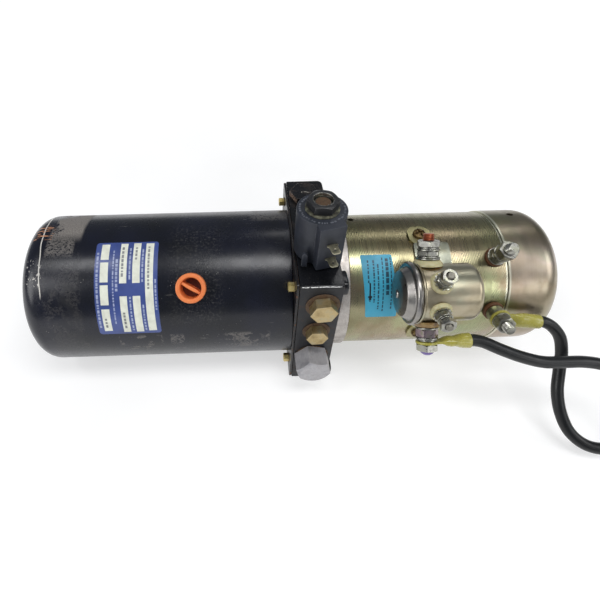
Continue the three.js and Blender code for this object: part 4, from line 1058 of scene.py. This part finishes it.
# ---- motor ---------------------------------------------------------------------------------------
def motor():
    at = along_x()
    r = 58.5
    adapter = [(r, 18.3, 0.4), (r, 29, 0.5), (52.6, 29), (52.6, 33), (16.1, 33), (16.1, 23.7), (13.5, 23.7),
               (13.5, 18.3)]
    body = lathe("adapter", adapter, at, 160, closed=True)
    boxes = [plate("tool", [rounded_box(-15, -11, 15, 11, 0.5)], 10, 22,
                   place((0, -63.5, AXIS_Z + z), (1, 0, 0), (0, -1, 0)), 0.1) for z in (-55, 55)]
    combine(body, boxes + [drill(3.5, 17, 35, along_x(y, AXIS_Z + z), 24) for y, z in tie_places()])
    dress(body, "adapter", replaces="adapter_ring")
    r, wall = MOTOR_RADIUS, 4.0
    case = lathe("case", [(r, 29.3, 0.3), (r, 154.7, 0.2), (r - wall, 154.7), (r - wall, 29.3)], at, 200,
                 closed=True)
    holes = [drill(2.8, 48, 66, radial(38, VENT_ANGLE), 32)]
    holes += [drill(6.0, 47, 67, radial(MOTOR_STUD_X, a), 32) for a in MOTOR_ANGLES]
    combine(case, holes)
    dress(case, "case", replaces="motor_case")
    profile = [(0, 199), (9.4, 199), (9.4, 190), (13, 190), (13, 199), (54.95, 199, 14), (54.95, 155, 0.2),
               (57.95, 155, 0.5), (57.95, 202, 17.0), (24, 202, 1.0), (23, 202.5, 1.0), (0, 202.5)]
    cap = lathe("motor_end", profile, at, 200, steps=12)
    holes = [drill(2.8, 48, 66, radial(176, VENT_ANGLE), 32)]
    holes += [drill(3.5, 197, 204, along_x(y, AXIS_Z + z), 24) for y, z in tie_places()]
    combine(cap, holes)
    dress(cap, "cap", replaces="end_cap")
    for i, (y, z) in enumerate(tie_places()):
        head = hex_head(f"tie_head_{i + 1}", 10.0, 202.6, 207.3, along_x(y, AXIS_Z + z), 0.93)
        dress(head, "yellow", replaces=f"tie_bolt_{i + 1}")
        dress(lathe(f"tie_rod_{i + 1}", [(0, 11.8), (3, 11.8, 0.5), (3, 202.6), (0, 202.6)],
                    along_x(y, AXIS_Z + z), 24), "steel")
        dress(ring(f"tie_washer_{i + 1}", 3.1, 6.6, 202.02, 202.6, along_x(y, AXIS_Z + z), 40, 0.15),
              "bright")


def stack(name, at, bore, rows, look="bright", n=64):
    """Nuts (name, flats, from, to, turn) and washers (name, radius, from, to, edge) threaded on a stud."""
    for part, size, h0, h1, last in rows:
        if part.startswith("nut"):
            piece = nut(f"{name}_{part}", size, h0, h1, bore - 0.1, spun(at, last))
        else:
            piece = ring(f"{name}_{part}", bore, size, h0, h1, at, n, last)
        dress(piece, look)


def motor_stud(side, angle):
    at = radial(MOTOR_STUD_X, angle)
    name = "stud_" + side
    dress(threaded(name, 4.0, 47, 85, at), "bright", replaces="motor_stud_" + side)
    dress(lathe(name + "_root", [(0, 44), (5.4, 44, 0.3), (5.4, 47, 0.3), (0, 47)], at, 40), "bright")
    sleeve = [(4.2, 50), (5.8, 50), (5.8, 57.0), (7.9, 57.4), (7.8, 59.8, 0.7), (4.2, 60.2, 0.3)]
    dress(lathe(name + "_insulator", sleeve, at, 48, closed=True), "fibre")
    rows = [("spacer", 6.8, 60.3, 68.6, 0.5), ("washer_b", 7.0, 70.6, 71.9, 0.2),
            ("nut_b", 13.0, 72.0, 79.0, 16)]
    if side == "upper":
        rows = [("washer_a", 7.2, 60.2, 61.4, 0.2), ("nut_a", 12.2, 61.5, 66.8, 12),
                ("washer_b", 6.6, 66.9, 68.9, 0.4), ("washer_c", 7.0, 69.0, 70.4, 0.2),
                ("nut_b", 13.0, 72.0, 79.0, -8), ("washer_d", 6.3, 70.5, 71.9, 0.4)]
    stack(name, at, 4.2, rows)


motor()
for side, angle in zip(("upper", "lower"), MOTOR_ANGLES):
    motor_stud(side, angle)


# ---- start relay ---------------------------------------------------------------------------------
def relay():
    at = along_x(RELAY_Y, RELAY_Z)
    can = [(0, 111.9), (19.6, 111.9, 4.0), (19.6, 69.0), (21.0, 69.0, 0.2), (21.0, 113.3, 5.5),
           (9, 113.3, 1.0), (8.4, 113.0, 0.6), (0, 113.0)]
    body = lathe("relay_body", can, at, 128, steps=8)
    tools = [drill(4.6, 14, 27, radial(RELAY_STUD_X, a, RELAY_Y, RELAY_Z), 32) for a in RELAY_ANGLES]
    combine(body, tools)
    dress(body, "relay", replaces="relay_can")
    back = 68.7
    lid = [(0, -12.2), (2.6, -12.2, 0.7), (3.4, -11.2, 0.5), (4.6, -11.1, 0.3), (11, -10.6, 2.0),
           (16.8, -9.2, 1.4), (19.2, -4.6, 0.8), (20.2, -4.0, 0.5), (22.0, -4.4, 0.9), (23.2, -3.2, 0.9),
           (23.2, -1.4, 0.7), (22.2, -0.6, 0.3), (22.0, 0, 0.1), (0, 0)]
    dress(lathe("relay_lid", [(p[0], p[1] + back, *p[2:]) for p in lid], at, 128, steps=3), "mirror",
          replaces="relay_cap")
    bead = [(21.05, 69.3), (22.3, 69.4, 0.4), (22.6, 70.3, 0.4), (22.2, 71.3, 0.4), (21.05, 71.6)]
    dress(lathe("relay_bead", bead, at, 128, closed=True), "relay")
    tilt = 39.5
    dress(wrap_patch("bracket_plate", 81.6, 109.6, tilt - 35.5, tilt + 35.5, 57.6, 59.3, 2.5), "bracket",
          replaces="relay_bracket")
    for name, a0, a1 in (("bracket_ear_a", tilt + 34, tilt + 52.5),
                         ("bracket_ear_b", tilt - 52.5, tilt - 34)):
        dress(wrap_patch(name, 79.6, 97.6, a0, a1, 57.5, 59.1, 7.5), "ear")
    dress(wrap_patch("bracket_saddle", 83.5, 108.0, tilt - 6, tilt + 6, 59.3, 60.7, 1.0), "bracket")
    for i, a in enumerate((82.7, -3.7)):
        screw(f"bracket_screw_{i + 1}", radial(88.3, a))


def screw(name, at):
    head = lathe(name, [(0, 62.3), (2.6, 62.2), (4.7, 61.3, 0.7), (5.2, 59.1, 0.2), (0, 59.1)], at, 48)
    for turn in (20, 110):
        bar = plate("tool", [rounded_box(-4.0, -0.75, 4.0, 0.75, 0.1)], 60.4, 63.0, spun(at, turn), 0.04)
        combine(head, [bar])
    dress(head, "screw")


def relay_stud(side, angle):
    at = radial(RELAY_STUD_X, angle, RELAY_Y, RELAY_Z)
    name = "relay_post_" + side
    look = "copper" if side == "upper" else "bright"
    dress(threaded(name, 4.0, 15, 43.5, at), look, replaces="relay_stud_" + side)
    dress(lathe(name + "_root", [(0, 12), (5, 12, 0.3), (5, 15, 0.3), (0, 15)], at, 40), look)
    dome = [(4.2, 18), (4.5, 18), (4.5, 20.4), (10.4, 20.5), (10.2, 22.0, 0.6), (8.4, 24.6, 1.2),
            (4.2, 25.0, 0.3)]
    dress(lathe(name + "_insulator", dome, at, 56, closed=True), "cream" if side == "upper" else "tan")
    if side == "upper":
        stack(name, at, 4.2, [("washer_a", 8.2, 25.1, 26.3, 0.2), ("washer_d", 7.4, 26.4, 27.5, 0.4),
                              ("nut_a", 14.0, 27.6, 31.4, 2), ("washer_b", 7.9, 31.5, 32.7, 0.2),
                              ("washer_c", 7.0, 32.8, 34.1, 0.4), ("nut_b", 14.6, 34.2, 38.6, 14)])
        return
    stack(name, at, 4.2, [("washer_a", 8.0, 25.1, 26.3, 0.2)])
    stack(name, at, 4.2, [("nut_a", 14.2, 26.4, 32.4, 8)], "pink")
    stack(name, at, 4.2, [("washer_b", 7.8, 32.5, 33.9, 0.2), ("washer_c", 6.8, 34.0, 35.5, 0.4),
                          ("nut_b", 14.4, 37.5, 42.8, -6)])
    mark = [(0, 43.52), (4.05, 43.52), (4.1, 42.84), (5.4, 42.86, 0.1), (4.4, 44.6, 0.8), (2.4, 46.0, 0.8),
            (0, 46.2)]
    dress(lathe(name + "_paint", mark, at, 32), "purple")


def small_stud(name, angle, turn):
    at = radial(82.3, angle, RELAY_Y, RELAY_Z)
    dress(threaded(name, 2.4, 19, 37.4, at, 0.8, 0.3, 28, 0.4), "tip")
    dome = [(2.8, 20.4), (8.0, 20.4), (7.8, 21.4, 0.4), (6.9, 23.2, 0.8), (2.8, 23.5, 0.2)]
    dress(lathe(name + "_insulator", dome, at, 48, closed=True), "cream")
    teeth = 6.4 - 0.7 * (np.arange(72) % 6 < 3)
    star = revolve([(2.8, 23.6), (4.6, 23.6), (teeth, 23.7), (teeth, 24.5), (4.6, 24.6), (2.8, 24.6)], 72,
                   True)
    dress(mesh_object(name + "_star", *star, at, 24.0), "bright")
    stack(name, at, 2.8, [("nut_a", 10.0, 24.7, 28.2, turn), ("washer", 5.4, 28.3, 29.2, 0.2),
                          ("spring", 4.7, 29.3, 30.4, 0.3), ("nut_b", 10.0, 31.6, 35.6, turn + 21)], n=48)


relay()
for side, angle in zip(("upper", "lower"), RELAY_ANGLES):
    relay_stud(side, angle)
small_stud("coil_post_a", 68, 5)
small_stud("coil_post_b", 10, 17)


# ---- tank label and motor sticker ----------------------------------------------------------------
def printed(name, patches, radius, lift, look):
    """Thin printed areas wrapped round the shaft axis, each given by x0, x1, a0, a1."""
    verts, faces = [], []
    for x0, x1, a0, a1 in patches:
        steps = max(2, int(abs(a1 - a0) / 2) + 1)
        base = len(verts)
        for r in (radius, radius + lift):
            for k in range(steps + 1):
                a = math.radians(a0 + (a1 - a0) * k / steps)
                verts += [(x, -r * math.cos(a), AXIS_Z + r * math.sin(a)) for x in (x0, x1)]
        top = 2 * (steps + 1)
        for k in range(steps):
            p = base + 2 * k
            faces += [(p, p + 1, p + 3, p + 2), (p + top, p + top + 2, p + top + 3, p + top + 1),
                      (p, p + 2, p + top + 2, p + top), (p + 1, p + top + 1, p + top + 3, p + 3)]
        q = base + 2 * steps
        faces += [(base, base + top, base + top + 1, base + 1), (q, q + 1, q + top + 1, q + top)]
    dress(mesh_object(name, verts, faces), look)


def spread(patches, x0=-168.5, factor=1.055):
    return [(x0 + (a - x0) * factor, x0 + (b - x0) * factor, c, d) for a, b, c, d in patches]


def bars(x, width, a0, a1, seed, low=0.9, high=3.2):
    """A row of short generic bars along the angle, like a line of print seen from afar."""
    random.seed(seed)
    out, a = [], a0
    while a < a1 - low:
        span = random.uniform(low, high)
        out.append((x, x + width, a, min(a + span, a1)))
        a += span + random.uniform(0.5, 1.1)
    return out


def tank_label():
    r = 63.22
    dress(wrap_patch("label", -168.5, -120.3, 11, 80, r, r + 0.16, 2.4, across=12), "label")
    first_row = ((66.5, 78.5), (50.5, 64.5), (34.5, 48.5), (14.0, 31.5))
    boxes = [(-164.4, -158.6, a0, a1) for a0, a1 in first_row]
    boxes += [(-150.4, -145.2, 49.5, 78.8), (-150.4, -145.2, 12.6, 40.5)]
    boxes += [(-141.0, -135.6, 49.5, 79.0), (-141.0, -135.6, 12.6, 40.5)]
    boxes += [(-131.8, -126.0, 13.4, 78.6)]
    printed("label_boxes", spread(boxes), r + 0.16, 0.04, "label_cream")
    marks = bars(-167.4, 1.5, 17, 72, 11) + bars(-155.6, 1.0, 20, 74, 12)
    marks += bars(-153.4, 1.7, 44, 68, 13, 1.5, 3.0)
    marks += bars(-143.6, 1.2, 14, 40, 14) + bars(-143.6, 1.2, 52, 76, 15) + bars(-134.4, 1.2, 14, 36, 16)
    marks += bars(-134.4, 1.2, 50, 74, 17) + bars(-125.0, 1.2, 30, 52, 18)
    printed("label_bars", spread(marks), r + 0.16, 0.04, "label_mark")
    dark = bars(-130.2, 1.5, 45, 77, 21, 1.2, 2.6) + bars(-149.2, 1.6, 54, 77, 22, 1.2, 2.6)
    dark += bars(-149.0, 1.6, 16, 30, 23, 1.2, 2.4) + bars(-162.8, 1.5, 17, 26, 24, 1.4, 2.4)
    dark += bars(-139.4, 1.5, 66, 76, 25, 1.2, 2.2)
    printed("label_faint_bars", spread(dark), r + 0.2, 0.02, "typed")


def motor_sticker():
    r = 57.17
    sticker = wrap_patch("sticker", 40.0, 65.0, 14.5, 66.5, r, r + 0.16, 1.4, across=12)
    bm = bmesh.new()
    bm.from_mesh(sticker.data)
    for v in bm.verts:
        angle = math.degrees(math.atan2(v.co.z / MM - AXIS_Z, -v.co.y / MM))
        v.co.x += (40.5 - angle) * 0.08 * MM
    bm.to_mesh(sticker.data)
    bm.free()
    dress(sticker, "sticker")
    marks = bars(47.4, 1.3, 28, 62, 31) + bars(50.8, 1.2, 22, 60, 32) + bars(54.6, 1.0, 20, 64, 33)
    marks += bars(57.4, 2.4, 34, 64, 34, 2.0, 4.5) + bars(61.2, 1.0, 22, 64, 35)
    marks += bars(43.0, 1.2, 44, 62, 36, 1.5, 3.0)
    printed("sticker_bars", marks, r + 0.16, 0.03, "sticker_mark")
    arrow = [(44.2, 45.4, 33.5, 44.0), (43.2, 46.4, 31.8, 33.5), (43.8, 45.8, 30.2, 31.8),
             (44.4, 45.2, 28.6, 30.2)]
    printed("sticker_arrow", arrow, r + 0.16, 0.03, "black_mark")


tank_label()
motor_sticker()


# ---- what stays as the CAD made it ---------------------------------------------------------------
INNER = {
    "rubber": ("tank_gasket", "shaft_seal"),
    "steel": ("suction_tube", "return_tube", "check_poppet", "check_spring", "relief_poppet",
              "relief_spring", "valve_plunger", "valve_spring", "drive_gear", "idler_gear", "coupling",
              "front_bearing", "rear_bearing", "armature_shaft", "relay_spring"),
    "mesh": ("suction_strainer",),
    "cast": ("pump_body", "pump_cover"),
    "laminate": ("armature_core",),
    "copper": ("commutator", "relay_plunger"),
    "ferrite": ("magnet_1", "magnet_2"),
    "phenolic": ("brush_ring",),
    "carbon": ("brush_1", "brush_2"),
}
for look, names in INNER.items():
    for name in names:
        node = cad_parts[name]
        node.data.materials.clear()
        node.data.materials.append(M[look])


# ---- floor and lights ----------------------------------------------------------------------------
def add_floor():
    """A pale table, lit evenly from within so that it stays white far from the object."""
    verts = [(-3000, -3000, 0), (3000, -3000, 0), (3000, 3000, 0), (-3000, 3000, 0)]
    floor = mesh_object("floor", verts, [(0, 1, 2, 3)])
    look = Look("floor_white", 0.0, 0.7, Emission_Color=(1, 1, 1, 1), Specular_IOR_Level=0.1)
    away = look.add("VectorMath", {0: look.point()}, out=1, operation="LENGTH")
    look.set("Base Color", look.ramp(look.noise(0.004), (0.4, (0.5, 0.5, 0.5)), (0.6, (0.54, 0.54, 0.54))))
    look.set("Emission Strength", look.remap(away, 200.0, 900.0, 0.52, 0.85, smooth=True))
    floor.data.materials.append(look.material)


def add_light(name, direction, distance, size, radiance, target=(0.0, 0.0, 0.08), roll=(1, 0, 0)):
    """A rectangular lamp seen from the target along a direction; its power follows from its radiance."""
    data = bpy.data.lights.new(name, "AREA")
    data.shape = "RECTANGLE"
    data.size, data.size_y = size
    data.energy = radiance * math.pi * size[0] * size[1]
    light = bpy.data.objects.new(name, data)
    out = Vector(direction).normalized()
    light.matrix_world = place(Vector(target) + out * distance, out, roll)
    bpy.context.scene.collection.objects.link(light)


def add_lights():
    add_light("overhead", (0.21, -0.25, 1.0), 1.35, (0.8, 0.36), 9.0)
    add_light("overhead_left", (-0.56, -0.16, 1.0), 1.5, (0.3, 0.3), 9.0)
    add_light("behind", (0.5, 0.75, 1.05), 1.45, (0.9, 0.1), 6.0)
    add_light("front_right", (0.54, -0.72, 0.32), 1.35, (0.45, 0.45), 3.2, (0.19, -0.04, 0.09))
    add_light("left", (-0.85, -0.42, 0.5), 1.3, (0.7, 0.6), 4.5, roll=(0, 0, 1))
    add_light("right", (0.9, -0.3, 0.55), 1.4, (0.6, 0.6), 3.2, roll=(0, 0, 1))
    world = bpy.data.worlds.new("world")
    world.use_nodes = True
    world.node_tree.nodes["Background"].inputs["Color"].default_value = (0.86, 0.92, 1.0, 1.0)
    world.node_tree.nodes["Background"].inputs["Strength"].default_value = 0.24
    bpy.context.scene.world = world
    bpy.context.scene.view_settings.view_transform = "Standard"


add_floor()
add_lights()
